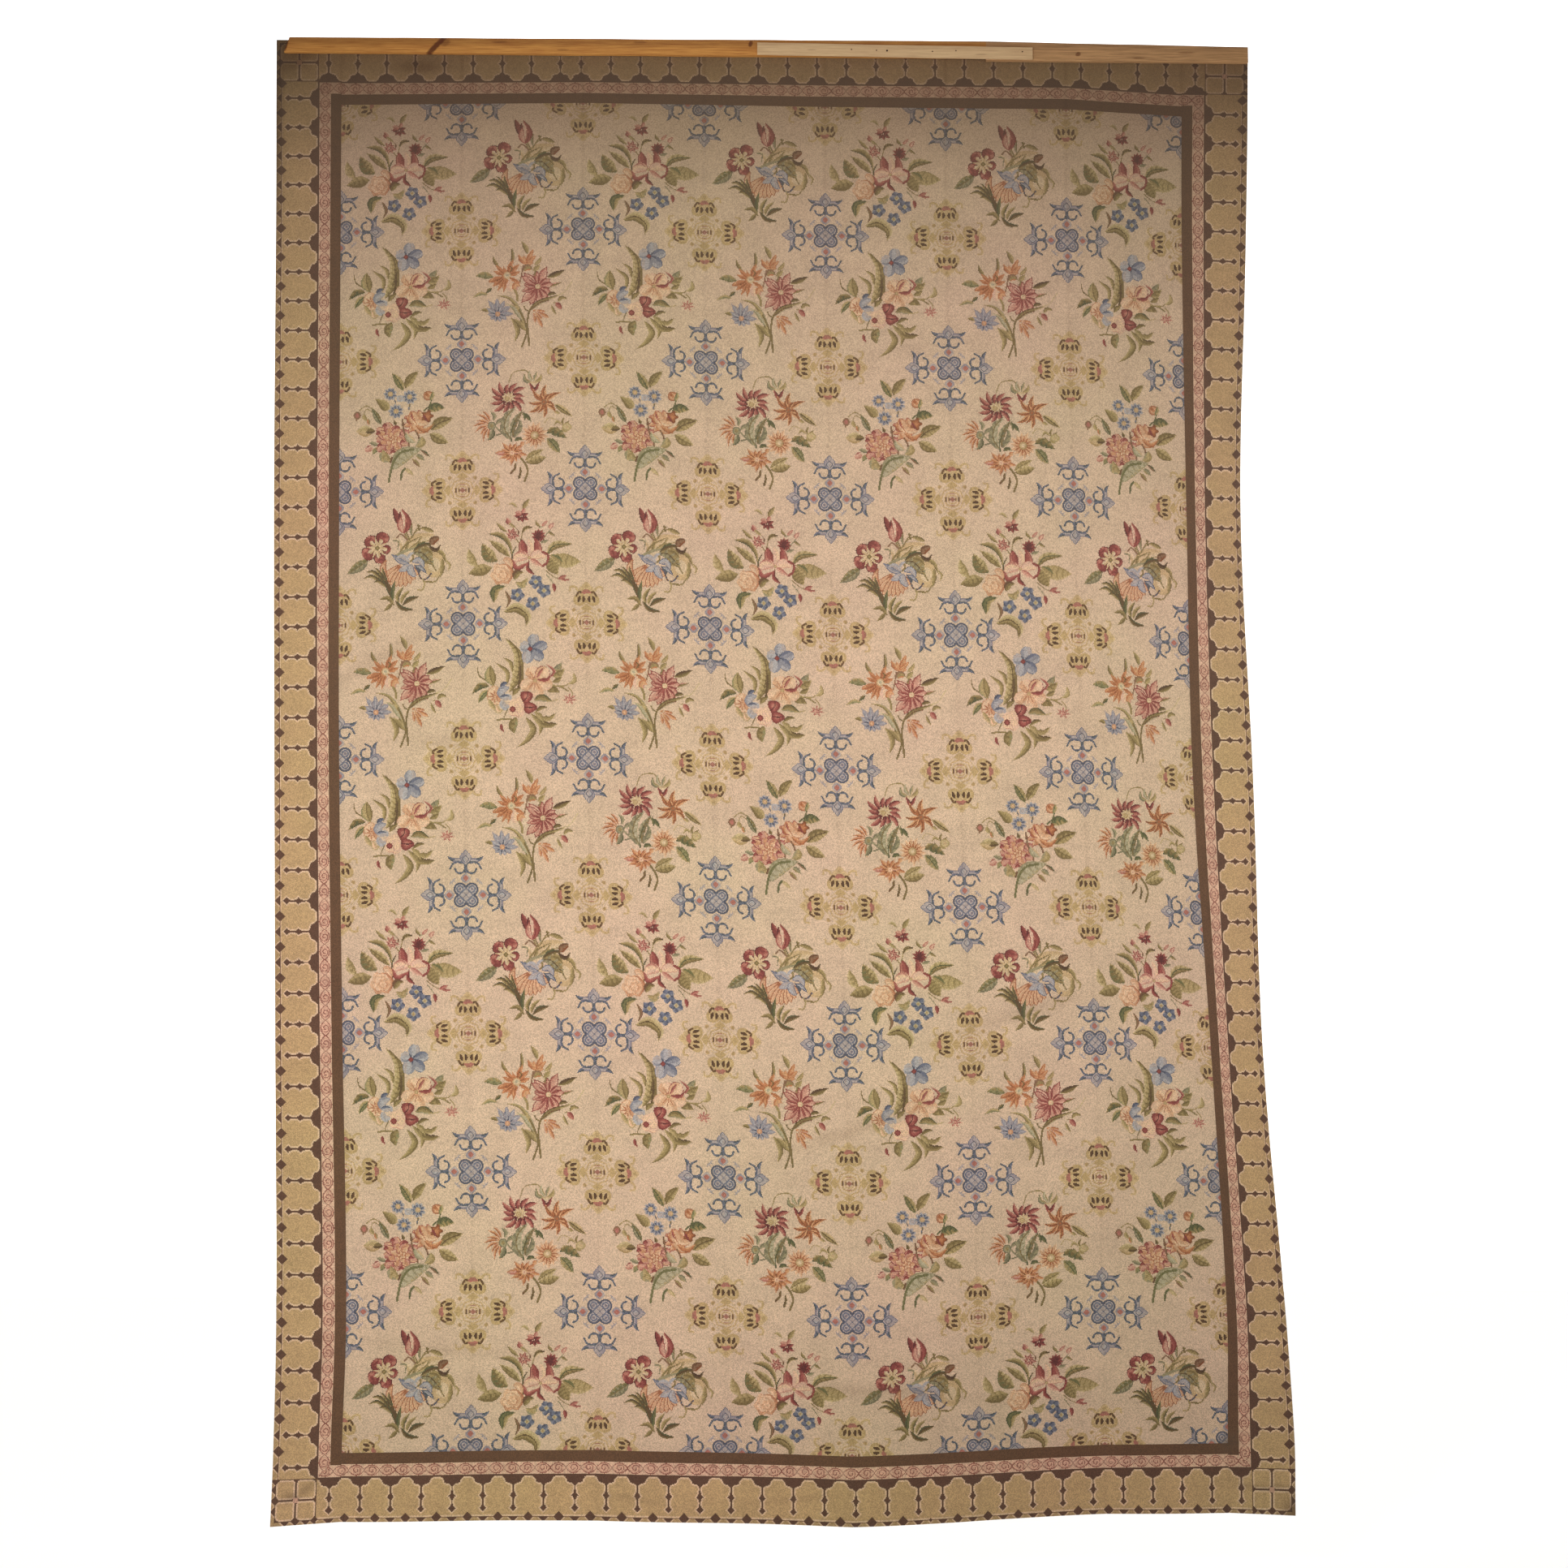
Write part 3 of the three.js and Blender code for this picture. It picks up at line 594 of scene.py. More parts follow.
def horn_bouquet():
    """A curved leaf like a horn, a blue pansy and an open pale rose over crimson buds."""
    m = Motif(160, 145, 13)
    m.leaf([(50, 74), (60, 54), (61, 28), (45, 6)], 13, OLIVE[1:5], tilt=-0.9, widest=0.4, ribs=12)
    m.leaf([(60, 76), (65, 56), (64, 34)], 6, OLIVE[:2])
    m.stem([(60, 58), (63, 40), (60, 22), (50, 9)], 1.4, OLIVE[:2], taper=0.5)
    m.leaf([(54, 50), (52, 38), (43, 31)], 5, OLIVE[1:4], tilt=-0.9)
    m.leaf([(47, 66), (48, 50), (33, 37)], 5.5, OLIVE[1:4], tilt=-0.9)
    m.stem([(26, 61), (14, 54), (11, 43)], 2, OLIVE[1:2], taper=0.4)
    m.leaf([(31, 66), (27, 54), (27, 40)], 14, OLIVE[1:4] + GREEN[2:], vein=OLIVE[1], tilt=-0.7)
    m.leaf([(26, 66), (15, 66), (4, 76)], 8, GREEN[:1] + OLIVE[1:3], ribs=3)
    m.leaf([(26, 71), (18, 77), (12, 87)], 8, GREEN[1:3] + OLIVE[3:4], vein=GREEN[0])
    m.leaf([(41, 70), (43, 64), (48, 62)], 6, BLUE[:2])
    pansy = (78, 20)
    pale = BLUE[2:4] + MAUVE[2:]
    for petals, shades, edge in (([(-1.35, 18, 14)], pale, BLUE[2]),
                                 ([(-0.2, 20, 13), (0.85, 20, 14)], BLUE[1:4], BLUE[1]),
                                 ([(2.0, 20, 15)], pale, BLUE[2]),
                                 ([(3.35, 15, 14)], pale, BLUE[3])):
        m.fan(pansy, petals, shades, edge=edge, blunt=0.5, widest=0.58, fade=0.3)
    m.blossom(pansy, 7, 5, 2.2, BLUE[:1], turn=-0.9)
    m.disc((76, 21), 2.6, CRIMSON[1:3])
    m.leaf([(104, 48), (111, 44), (115, 38)], 8, SAGE[:2] + OLIVE[2:3], ribs=3)
    m.leaf([(103, 55), (112, 52), (118, 45)], 8, OLIVE[1:4], ribs=3)
    m.leaf([(103, 62), (109, 60), (115, 56)], 6, OLIVE[1:3])
    m.stem([(101, 66), (113, 68), (122, 73)], 2, OLIVE[1:3])
    m.stem([(104, 66), (117, 67), (125, 63)], 1.4, OLIVE[2:4])
    m.leaf([(123, 65), (130, 60), (129, 50)], 6, OLIVE[2:5], tilt=-0.8)
    m.leaf([(97, 74), (104, 71), (112, 75)], 8, OLIVE[1:3], ribs=2)
    m.stem([(122, 68), (127, 74), (127, 81)], 1.3, OLIVE[2:3])
    m.blossom((124, 83), 9, 7, 2.6, ROSE[1:3] + CRIMSON[2:3], turn=0.25, squash=0.8, start=0.1)
    rose = (82, 60)
    shades = PEACH[1:4] + ROSE[3:]
    for petal, edge in (((-1.9, 18, 17), PEACH[2]), ((-0.75, 22, 18), ROSE[0]), ((0.35, 22, 16), PEACH[2]),
                        ((1.35, 23, 16), PEACH[3]), ((2.7, 20, 15), PEACH[2])):
        m.fan(rose, [petal], shades, edge=edge, blunt=0.5, widest=0.6, tilt=0.5, fade=0.3)
    m.leaf([(84, 59), (96, 59), (103, 52)], 4.5, CRIMSON[1:3])
    m.leaf([(84, 57), (90, 47), (94, 46)], 3.5, ROSE[:2])
    m.leaf([(102, 56), (105, 48), (96, 40)], 3.5, ROSE[:2], tilt=0.4)
    for angle in (-2.6, -2.1, 1.1, 1.7, 2.3):
        m.stem([rose] + outwards(rose, angle, 12), 1.1, PEACH[:2], taper=0.3)
    m.disc(rose, 2.2, STRAW[:2])
    m.leaf([(80, 84), (90, 81), (103, 86)], 9, GREEN[:1] + OLIVE[1:3] + SAGE[1:2])
    m.stem([(96, 86), (104, 85), (110, 83)], 1.2, OLIVE[3:4])
    m.leaf([(34, 66), (31, 80), (38, 88)], 17, PEACH[2:4], blunt=0.6, edge=PEACH[1])
    m.blossom((33, 79), 9, 9, 2, PEACH[:2], turn=0.3)
    m.leaf([(24, 82), (30, 92), (37, 96)], 6, OLIVE[2:4] + STRAW[1:2])
    m.leaf([(34, 88), (36, 97), (43, 95)], 6, PEACH[2:4], edge=OLIVE[3])
    m.leaf([(40, 82), (41, 72), (50, 68)], 10, BLUE[2:4] + MAUVE[2:], edge=BLUE[2], blunt=0.6)
    m.leaf([(41, 82), (49, 80), (52, 84)], 8, BLUE[3:] + MAUVE[2:], blunt=0.6)
    m.leaf([(40, 84), (44, 92), (51, 90)], 8, MAUVE[2:] + BLUE[3:], blunt=0.6)
    m.leaf([(39, 80), (44, 78), (51, 79)], 3, BLUE[:2])
    m.leaf([(54, 78), (58, 72), (64, 70)], 6, OLIVE[1:3])
    m.rose((60, 93), 11.5, ROSE[2:4] + PEACH[3:], petals=5, rings=1.7, squash=1.05)
    m.disc((71, 80), 7.5, CRIMSON[1:4], squash=1.05, lobes=3, turn=1.2)
    m.disc((75, 93), 8, CRIMSON[1:4], squash=0.9, lobes=3, turn=0.2)
    m.stem([(66, 86), (72, 80), (73, 74)], 1.2, CRIMSON[:1])
    m.stem([(68, 92), (76, 93), (82, 92)], 1.2, CRIMSON[:1])
    m.disc((54, 95), 3.6, CRIMSON[1:3])
    m.stem([(48, 94), (44, 103), (43, 107)], 1.2, OLIVE[1:2])
    m.stem([(35, 108), (43, 107), (52, 107)], 2.2, OLIVE[1:3])
    m.leaf([(40, 112), (40, 118), (43, 123)], 4, CRIMSON[1:3])
    m.leaf([(59, 105), (54, 115), (56, 125)], 11, OLIVE[1:3] + GREEN[2:], tilt=-0.8, ribs=3)
    m.leaf([(70, 105), (79, 120), (70, 134), (58, 142)], 8, OLIVE[1:4], tilt=0.9, widest=0.4)
    m.leaf([(76, 100), (88, 114), (86, 128)], 7, OLIVE[1:4], tilt=0.9)
    m.leaf([(82, 98), (90, 93), (97, 93)], 5, OLIVE[:3])
    m.leaf([(84, 102), (94, 114), (110, 113)], 9, OLIVE[:3], tilt=0.8, teeth=3)
    m.leaf([(86, 104), (98, 107), (107, 100)], 7, OLIVE[1:4], teeth=3)
    m.leaf([(80, 98), (88, 104), (92, 112)], 6, OLIVE[2:4])
    return m, (70, 72)


def star_bouquet():
    """A rose-pink star lily among rust lilies, with a blue star flower low on the left."""
    m = Motif(160, 145, 14)
    m.leaf([(77, 18), (74, 9), (69, 1)], 6.5, OLIVE[1:4])
    m.leaf([(42, 36), (36, 28), (33, 19)], 4.5, OLIVE[1:3])
    m.leaf([(56, 32), (58, 22), (57, 8)], 5, OLIVE[:3] + SAGE[1:2])
    m.leaf([(34, 47), (22, 44), (11, 45)], 9, GREEN[1:3] + OLIVE[2:4], ribs=3)
    m.leaf([(32, 61), (28, 64), (24, 68)], 4.5, GREEN[:1] + OLIVE[1:2])
    m.leaf([(28, 70), (18, 68), (8, 73)], 5, GREEN[2:] + OLIVE[3:4])
    m.stem([(71, 33), (69, 44), (67, 53)], 1.8, BROWN[1:] + OLIVE[1:2])
    petals = (-2.3, 14, 6), (-1.75, 12, 5), (-1.1, 22, 6.5), (-0.7, 17, 6), (-0.2, 10, 5)
    m.fan((74, 31), petals, RUST[1:4], edge=RUST[2], vein=RUST[3], blunt=0.8)
    m.leaf([(72, 30), (68, 24), (65, 18)], 6, RUST[1:4])
    m.leaf([(72, 40), (76, 35), (83, 38)], 9, BROWN[2:] + OLIVE[2:3] + RUST[2:3])
    m.leaf([(85, 32), (91, 27), (94, 21)], 5, OLIVE[2:4] + STRAW[:1])
    m.leaf([(83, 40), (88, 36), (92, 31)], 6, OLIVE[2:4])
    petals = ((-2.75, 17, 5), (-2.3, 20, 5), (-1.85, 13, 4), (-1.2, 23, 6.5), (-0.75, 23, 6), (-0.3, 18, 6),
              (0.5, 20, 5), (1.75, 21, 5), (2.1, 22, 5), (2.5, 22, 6), (2.85, 25, 7), (1.35, 20, 4))
    m.fan((50, 46), petals, RUST[:4], edge=RUST[2], widest=0.55, fade=0.5)
    m.leaf([(56, 66), (54, 60), (55, 50)], 8, ROSE[3:] + PEACH[3:], blunt=0.7)
    m.disc((51, 45), 4.6, STRAW[1:] + SAGE[2:])
    m.stem([(55, 40), (57, 36), (54, 33)], 1.4, OLIVE[:2])
    m.leaf([(60, 66), (62, 58), (68, 60)], 9, RUST[2:4] + ROSE[2:3])
    m.leaf([(100, 48), (110, 45), (124, 39)], 7, BROWN[:1] + OLIVE[:3])
    m.leaf([(98, 60), (108, 58), (120, 55)], 4.5, ROSE[2:3] + OLIVE[1:3])
    m.stem([(112, 72), (122, 68), (132, 54)], 1.1, OLIVE[4:])
    m.leaf([(84, 52), (87, 44), (86, 38)], 6, OLIVE[1:3] + BROWN[1:2])
    lily = (89, 60)
    petals = ((-2.35, 25, 10), (-1.6, 20, 7), (-1.15, 28, 11), (-0.55, 18, 10), (-0.15, 20, 9),
              (0.55, 20, 10), (1.0, 23, 10), (1.45, 24, 10), (1.95, 26, 10), (2.35, 29, 11),
              (2.85, 21, 9), (3.3, 18, 9), (3.75, 25, 9))
    m.fan(lily, petals, ROSE[1:4], edge=ROSE[0], widest=0.55, tilt=0.7)
    m.blossom(lily, 17, 12, 2.4, CRIMSON[1:3], turn=0.2, start=0.15)
    m.disc(lily, 3.4, STRAW[1:] + PEACH[2:3])
    m.leaf([(101, 72), (107, 69), (113, 70)], 4.5, OLIVE[:2])
    m.leaf([(78, 91), (92, 80), (118, 71)], 6, OLIVE[:4] + SAGE[1:2], widest=0.35)
    m.leaf([(114, 80), (119, 75), (126, 77)], 5, OLIVE[1:4])
    m.stem([(108, 82), (111, 81), (113, 83)], 1.2, OLIVE[2:3])
    m.leaf([(111, 81), (115, 85), (119, 90)], 6.5, CRIMSON[1:4] + ROSE[1:2], blunt=0.7)
    m.leaf([(106, 84), (108, 90), (112, 97)], 4, OLIVE[1:4])
    petals = (0.2, 16, 3.5), (0.5, 23, 5), (0.85, 17, 4), (1.1, 27, 5), (1.4, 18, 4)
    m.fan((83, 90), petals, RUST[1:4] + ROSE[2:3], widest=0.7)
    blue = (39, 95)
    for number, reach in enumerate((20, 15, 13, 12, 13, 13, 15, 20, 19, 18, 19)):
        angle = 0.1 + number * 0.571
        tip = (blue[0] + reach * math.cos(angle), blue[1] + reach * math.sin(angle) - 2)
        m.leaf([blue, tip], 6.5, BLUE[1:4] + MAUVE[1:], widest=0.55, tilt=0.9, edge=MAUVE[1])
    m.blossom(blue, 9, 8, 1.6, BLUE[:1], turn=0.2, start=0.4)
    m.disc(blue, 3.2, PEACH[1:3])
    m.leaf([(27, 92), (23, 89), (18, 90)], 4.5, OLIVE[1:3])
    m.leaf([(74, 118), (66, 92), (54, 75), (32, 70)], 6, OLIVE[1:4] + SAGE[1:2], widest=0.35)
    m.stem([(64, 78), (63, 70), (60, 64)], 3, OLIVE[1:3] + SAGE[:1])
    m.leaf([(70, 104), (60, 88), (50, 82)], 7, SAGE[1:] + OLIVE[3:4])
    m.leaf([(74, 118), (66, 108), (55, 101)], 7, OLIVE[1:4])
    m.leaf([(56, 100), (64, 116), (60, 132)], 7, OLIVE[1:4], tilt=0.9)
    m.stem([(78, 92), (76, 106), (77, 122), (78, 136)], 2.4, OLIVE[:3])
    m.stem([(66, 90), (73, 106), (75, 120), (69, 138)], 2.4, OLIVE[:3])
    m.stem([(79, 92), (74, 90), (72, 86)], 1.5, OLIVE[1:2])
    m.stem([(80, 90), (92, 81), (102, 78)], 2, BROWN[1:2] + OLIVE[1:2])
    return m, (70, 70)


def peony_bouquet():
    """A pink peony and an orange rose under three blue flowers, on a grey-green leaf."""
    m = Motif(160, 150, 15)
    m.leaf([(73, 29), (67, 17), (59, 6)], 10, GREEN[1:2] + OLIVE[2:4], vein=GREEN[0], ribs=4)
    m.leaf([(75, 26), (82, 14), (92, 4)], 11, OLIVE[1:4], tilt=0.8, ribs=4, vein=OLIVE[1])
    m.leaf([(54, 54), (48, 46), (38, 39)], 12, OLIVE[1:4], tilt=0.8, widest=0.35)
    m.stem([(35, 52), (27, 48), (18, 54)], 1.3, OLIVE[2:3])
    m.stem([(35, 56), (28, 52), (24, 58)], 1.2, OLIVE[2:3])
    m.disc((16, 60), 4.6, BROWN[2:] + ROSE[1:2], squash=1.15)
    m.leaf([(15, 64), (15, 68)], 2, BROWN[2:])
    m.leaf([(24, 58), (25, 63), (28, 67)], 5.5, OLIVE[2:4])
    m.leaf([(29, 64), (30, 68), (31, 72)], 4.5, OLIVE[2:3] + RUST[2:3])
    m.leaf([(46, 72), (39, 60), (34, 50)], 8, SAGE[:2] + OLIVE[1:2] + GREEN[1:2], vein=GREEN[0], ribs=5)
    for middle, radius in (((57, 33), 8.5), ((81, 37), 9.5), ((64, 55), 9.5)):
        m.blossom(middle, radius, 9, 5.6, BLUE[2:4] + MAUVE[2:], turn=0.4, blunt=0.6)
        m.blossom(middle, radius * 0.8, 9, 2.2, BLUE[:2], turn=0.4, start=0.45)
        m.disc(middle, 3.4, STRAW[:2] + PEACH[2:3])
    m.disc((69, 39), 4.4, BLUE[3:] + MAUVE[2:])
    m.stem([(62, 40), (64, 45)], 1.2, BLUE[:1])
    m.stem([(81, 47), (80, 53)], 2, BLUE[1:2] + OLIVE[1:2])
    m.stem([(108, 41), (106, 48), (99, 55)], 1.8, GREEN[:2])
    m.disc((104, 36), 6.4, ORANGE[:3] + RUST[2:3])
    m.leaf([(106, 42), (109, 37), (110, 30)], 5, GREEN[1:3] + OLIVE[3:4])
    m.disc((102, 34), 2, RUST[1:2])
    m.leaf([(103, 57), (112, 51), (125, 52)], 12, GREEN[:2] + OLIVE[2:4], ribs=4)
    m.leaf([(107, 80), (118, 71), (135, 65)], 14, OLIVE[1:4], ribs=5, vein=OLIVE[0])
    m.leaf([(106, 84), (116, 91), (129, 97)], 13, OLIVE[1:5], ribs=5, vein=OLIVE[1], tilt=-0.7)
    petals = (2.75, 23, 9), (2.3, 22, 10), (3.3, 21, 9), (3.9, 16, 8), (4.6, 12, 9), (1.8, 18, 12)
    m.fan((94, 66), petals, RUST[2:3] + PEACH[1:4], edge=CRIMSON[2], blunt=0.6, tilt=0.9)
    m.leaf([(86, 56), (90, 66), (98, 70), (106, 68)], 12, PEACH[1:4], tilt=0.9, edge=PEACH[1], blunt=0.6)
    m.leaf([(82, 56), (84, 70), (92, 80), (104, 82)], 9, PEACH[1:4], tilt=-0.8, edge=RUST[2], blunt=0.6)
    m.leaf([(88, 74), (100, 80), (111, 72)], 6, RUST[1:4], tilt=-0.8)
    m.disc((103, 62), 6.6, RUST[:3], lobes=5, lobe=0.2)
    m.leaf([(98, 60), (101, 66), (104, 70)], 3, CRIMSON[1:2])
    m.leaf([(76, 62), (80, 70), (87, 72)], 3, RUST[1:2] + CRIMSON[2:3])
    m.leaf([(82, 56), (84, 64), (87, 68)], 2.4, CRIMSON[2:3])
    m.leaf([(38, 80), (26, 80), (14, 80)], 14, STRAW[:2] + OLIVE[3:5], widest=0.5)
    m.leaf([(38, 80), (32, 80), (26, 82)], 7, OLIVE[:2])
    m.leaf([(42, 98), (36, 96), (30, 94)], 5, SAGE[:2])
    m.leaf([(43, 102), (38, 105), (35, 110)], 6, GREEN[1:3] + OLIVE[2:3])
    m.leaf([(34, 99), (29, 103), (25, 103)], 8, ROSE[1:4] + CRIMSON[2:3], blunt=0.7)
    m.leaf([(64, 73), (62, 68), (61, 66)], 4, OLIVE[:2])
    peony = (58, 90)
    m.blossom(peony, 21, 9, 13, ROSE[1:3] + PEACH[2:3], turn=0.3, edge=CRIMSON[2], blunt=0.45, uneven=0.12)
    m.blossom(peony, 16, 7, 12, ROSE[2:3] + PEACH[1:3], turn=0.9, edge=ROSE[0], blunt=0.45, uneven=0.16)
    m.blossom((60, 90), 11, 6, 9, PEACH[1:4], turn=0.2, edge=ROSE[1], blunt=0.5, uneven=0.2)
    m.blossom((61, 91), 6, 5, 5, PEACH[2:4], turn=0.6, edge=PEACH[0], blunt=0.7)
    for x, y in ((50, 73), (42, 83), (44, 98), (65, 76), (72, 94), (60, 107)):
        m.leaf([(x - 3, y + 2), (x, y - 1), (x + 3, y + 1)], 3.6, CRIMSON[1:3])
    m.stem([(72, 66), (74, 82), (80, 96), (79, 105)], 2.4, BROWN[1:3])
    m.stem([(88, 80), (92, 88), (93, 95)], 2.2, BROWN[1:3])
    m.leaf([(96, 88), (95, 96), (88, 101)], 11, OLIVE[2:4] + SAGE[1:2])
    m.leaf([(88, 96), (80, 90), (76, 82)], 9, SAGE[1:3] + STRAW[1:2])
    m.leaf([(48, 104), (50, 114), (60, 118)], 12, OLIVE[2:4] + SAGE[1:2], ribs=3)
    m.leaf([(60, 130), (72, 112), (96, 103)], 19, SAGE[1:3] + OLIVE[3:4], ribs=6, tilt=0.5, edge=SAGE[1])
    m.leaf([(94, 105), (99, 108), (106, 114)], 4, GREEN[:1] + BROWN[2:])
    m.leaf([(88, 111), (94, 114), (99, 119)], 6, SAGE[:2] + OLIVE[2:3])
    m.leaf([(84, 116), (89, 121), (94, 127)], 5, OLIVE[2:3] + BROWN[2:])
    m.leaf([(74, 128), (80, 132), (86, 138)], 5, OLIVE[3:5] + STRAW[1:2])
    m.stem([(86, 104), (70, 108), (60, 122), (55, 145)], 3, GREEN[:2] + OLIVE[1:2])
    m.stem([(75, 128), (71, 134), (70, 142)], 2.6, GREEN[:2])
    m.stem([(57, 120), (59, 114)], 2, BROWN[1:2])
    return m, (70, 74)


def aster_bouquet():
    """Crimson and rust asters round a feathery grey-green leaf, with cut stems below."""
    m = Motif(160, 150, 16)
    m.stem([(52, 22), (58, 9), (72, 6), (78, 11)], 1.2, OLIVE[2:3])
    m.leaf([(82, 22), (73, 19), (72, 10)], 5, SAGE[:2] + OLIVE[2:3])
    m.leaf([(82, 21), (78, 13), (79, 6)], 4.4, SAGE[1:3] + OLIVE[2:3])
    m.leaf([(83, 21), (86, 13), (88, 7)], 4.4, SAGE[:2] + STRAW[1:2])
    m.leaf([(84, 22), (91, 18), (93, 10)], 4.4, OLIVE[2:4])
    m.leaf([(76, 23), (83, 24), (91, 22)], 6, STRAW[1:] + ROSE[3:])
    m.leaf([(78, 22), (84, 31), (91, 21)], 5, CRIMSON[:3])
    m.leaf([(109, 50), (118, 56), (131, 66)], 8, OLIVE[1:4] + STRAW[1:2], tilt=-0.8, vein=OLIVE[0])
    m.leaf([(108, 58), (113, 61), (116, 62)], 4, OLIVE[2:4])
    orange = (96, 47)
    for angle, reach, width in ((-2.5, 22, 6), (-1.7, 22, 7), (-0.75, 24, 6), (0.5, 20, 6), (1.35, 20, 6),
                                (2.3, 23, 6), (2.9, 20, 5), (0.1, 14, 5), (1.85, 16, 5), (-2.1, 13, 5),
                                (-1.2, 13, 5)):
        places = [orange] + outwards(orange, angle, reach, (0.6, 1.0), sweep=0.25)
        m.leaf(places, width, RUST[1:4], tilt=0.8, fade=0.3, vein=RUST[0])
    m.disc(orange, 3.4, BROWN[2:] + RUST[1:2])
    m.stem([(96, 74), (102, 67), (113, 71)], 1.1, OLIVE[3:4])
    m.leaf([(118, 76), (112, 72), (108, 77)], 3, OLIVE[2:4])
    m.leaf([(119, 77), (119, 71), (121, 67)], 3, OLIVE[1:3])
    m.leaf([(120, 76), (124, 74), (127, 71)], 3, OLIVE[1:3])
    m.disc((124, 79), 5.8, OLIVE[3:] + STRAW[1:2], squash=0.9)
    m.leaf([(118, 79), (120, 84), (126, 86)], 3, OLIVE[2:4])
    m.leaf([(98, 86), (108, 84), (124, 93)], 12, GREEN[:2] + OLIVE[1:4], ribs=4, teeth=5, tilt=-0.6)
    m.leaf([(99, 93), (106, 100), (115, 112)], 13, GREEN[1:3] + OLIVE[2:4], ribs=5, teeth=5, vein=GREEN[0])
    aster = (51, 41)
    for number in range(13):
        angle = number * 0.4833 + 0.1
        reach = 23 + 3.5 * math.sin(number * 1.9)
        tip = outwards(aster, angle, reach, (0.6, 1.0), sweep=0.3, squash=0.92)
        m.leaf(outwards(aster, angle, 3) + tip, 6, CRIMSON[:4] + ROSE[1:2], tilt=0.9, fade=0.3, widest=0.55)
    m.blossom(aster, 10, 13, 2, CRIMSON[:1], turn=0.3, start=0.5)
    m.blossom((52, 40), 9, 9, 3.4, STRAW[1:], turn=0.5, squash=0.8)
    m.disc((50, 42), 3, STRAW[:2] + OLIVE[3:4])
    thistle = (30, 75)
    for number in range(8):
        angle = 2.0 + number * 0.36
        reach = 21 + 2.5 * math.sin(number * 2.2)
        places = outwards(thistle, angle, reach, (0.2, 0.6, 1.0), sweep=-0.35)
        m.leaf(places, 3.6, RUST[:4] + ROSE[2:3], tilt=0.9)
    m.disc((31, 76), 5.4, SAGE[:2] + OLIVE[2:3])
    m.leaf([(33, 70), (34, 63), (29, 58)], 5, SAGE[:2])
    m.leaf([(33, 80), (31, 88), (26, 95)], 7, GREEN[:1] + SAGE[:2])
    m.leaf([(35, 75), (40, 70), (44, 66)], 4.5, SAGE[:2])
    m.stem([(36, 78), (42, 84), (50, 92)], 2.4, SAGE[:2])
    m.stem([(37, 88), (44, 86)], 2, SAGE[:1])
    feathery = {"ribs": 6, "teeth": 6, "vein": OLIVE[1]}
    m.leaf([(56, 96), (47, 80), (50, 64), (62, 52)], 12, SAGE + SAGE[1:2], tilt=0.6, **feathery)
    m.leaf([(57, 92), (58, 74), (70, 56)], 9, OLIVE[1:2] + SAGE, tilt=-0.7, **feathery)
    m.leaf([(58, 92), (66, 78), (64, 66)], 7, SAGE[:2], ribs=4, tilt=0.7)
    m.leaf([(68, 62), (74, 64), (80, 72)], 5, GREEN[:2])
    m.leaf([(70, 58), (72, 66), (71, 71)], 4, GREEN[:2])
    m.stem([(55, 97), (55, 84), (60, 70)], 1.4, GREEN[:1])
    m.leaf([(59, 96), (64, 93), (70, 95)], 5, GREEN[:2])
    shades = RUST[1:2] + ORANGE[2:] + PEACH[3:]
    m.blossom((84, 89), 17, 14, 5.4, shades, turn=0.15, uneven=0.08, fade=0.6, tilt=0.5)
    m.blossom((84, 89), 13, 14, 1.4, RUST[1:2], turn=0.36, start=0.35)
    m.disc((84, 89), 5, STRAW[:3])
    m.blossom((56, 111), 17, 13, 5.6, RUST[1:4] + ROSE[2:3], turn=0.2, uneven=0.18, fade=-0.3, squash=0.8)
    m.leaf([(48, 110), (40, 111), (34, 111)], 6, ROSE[1:3] + RUST[2:3])
    m.leaf([(66, 102), (70, 98), (72, 98)], 5, RUST[2:4])
    m.blossom((56, 111), 10, 9, 1.6, RUST[:1], turn=0.4, start=0.35, squash=0.8)
    m.disc((56, 111), 3, PEACH[2:] + ROSE[2:3])
    m.leaf([(72, 121), (84, 113), (95, 107)], 10, OLIVE[2:5], ribs=5, vein=OLIVE[1])
    m.leaf([(73, 123), (86, 120), (99, 117)], 12, OLIVE[1:5], ribs=5, tilt=-0.8)
    m.stem([(60, 125), (59, 131), (54, 137)], 2.8, BROWN[1:2] + OLIVE[1:2])
    m.stem([(66, 130), (66, 137), (64, 143)], 2.8, OLIVE[:2])
    m.stem([(67, 118), (73, 127), (75, 136), (71, 147)], 2.6, OLIVE[:2] + BROWN[1:2])
    return m, (70, 74)


CROSS_SIZE = 112
CROSS_MIDDLE = CROSS_SIZE / 2


def four_ways(motif):
    """A cross with the same upper arm turned to each of its four sides."""
    chart = np.full((CROSS_SIZE, CROSS_SIZE), EMPTY, np.uint8)
    for turns in range(4):
        turned = np.rot90(motif.squares, turns)
        worked = turned != EMPTY
        chart[worked] = turned[worked]
    return chart


def from_cross_middle():
    """How far each square of a cross lies to the right of its middle, and how far down."""
    y, x = np.mgrid[:CROSS_SIZE, :CROSS_SIZE] + 0.5 - CROSS_MIDDLE
    return x, y


def arm(side, *places):
    """Places on a cross's upper arm, counted out from its middle line and up from its middle."""
    return [(CROSS_MIDDLE + side * out, CROSS_MIDDLE - up) for out, up in places]


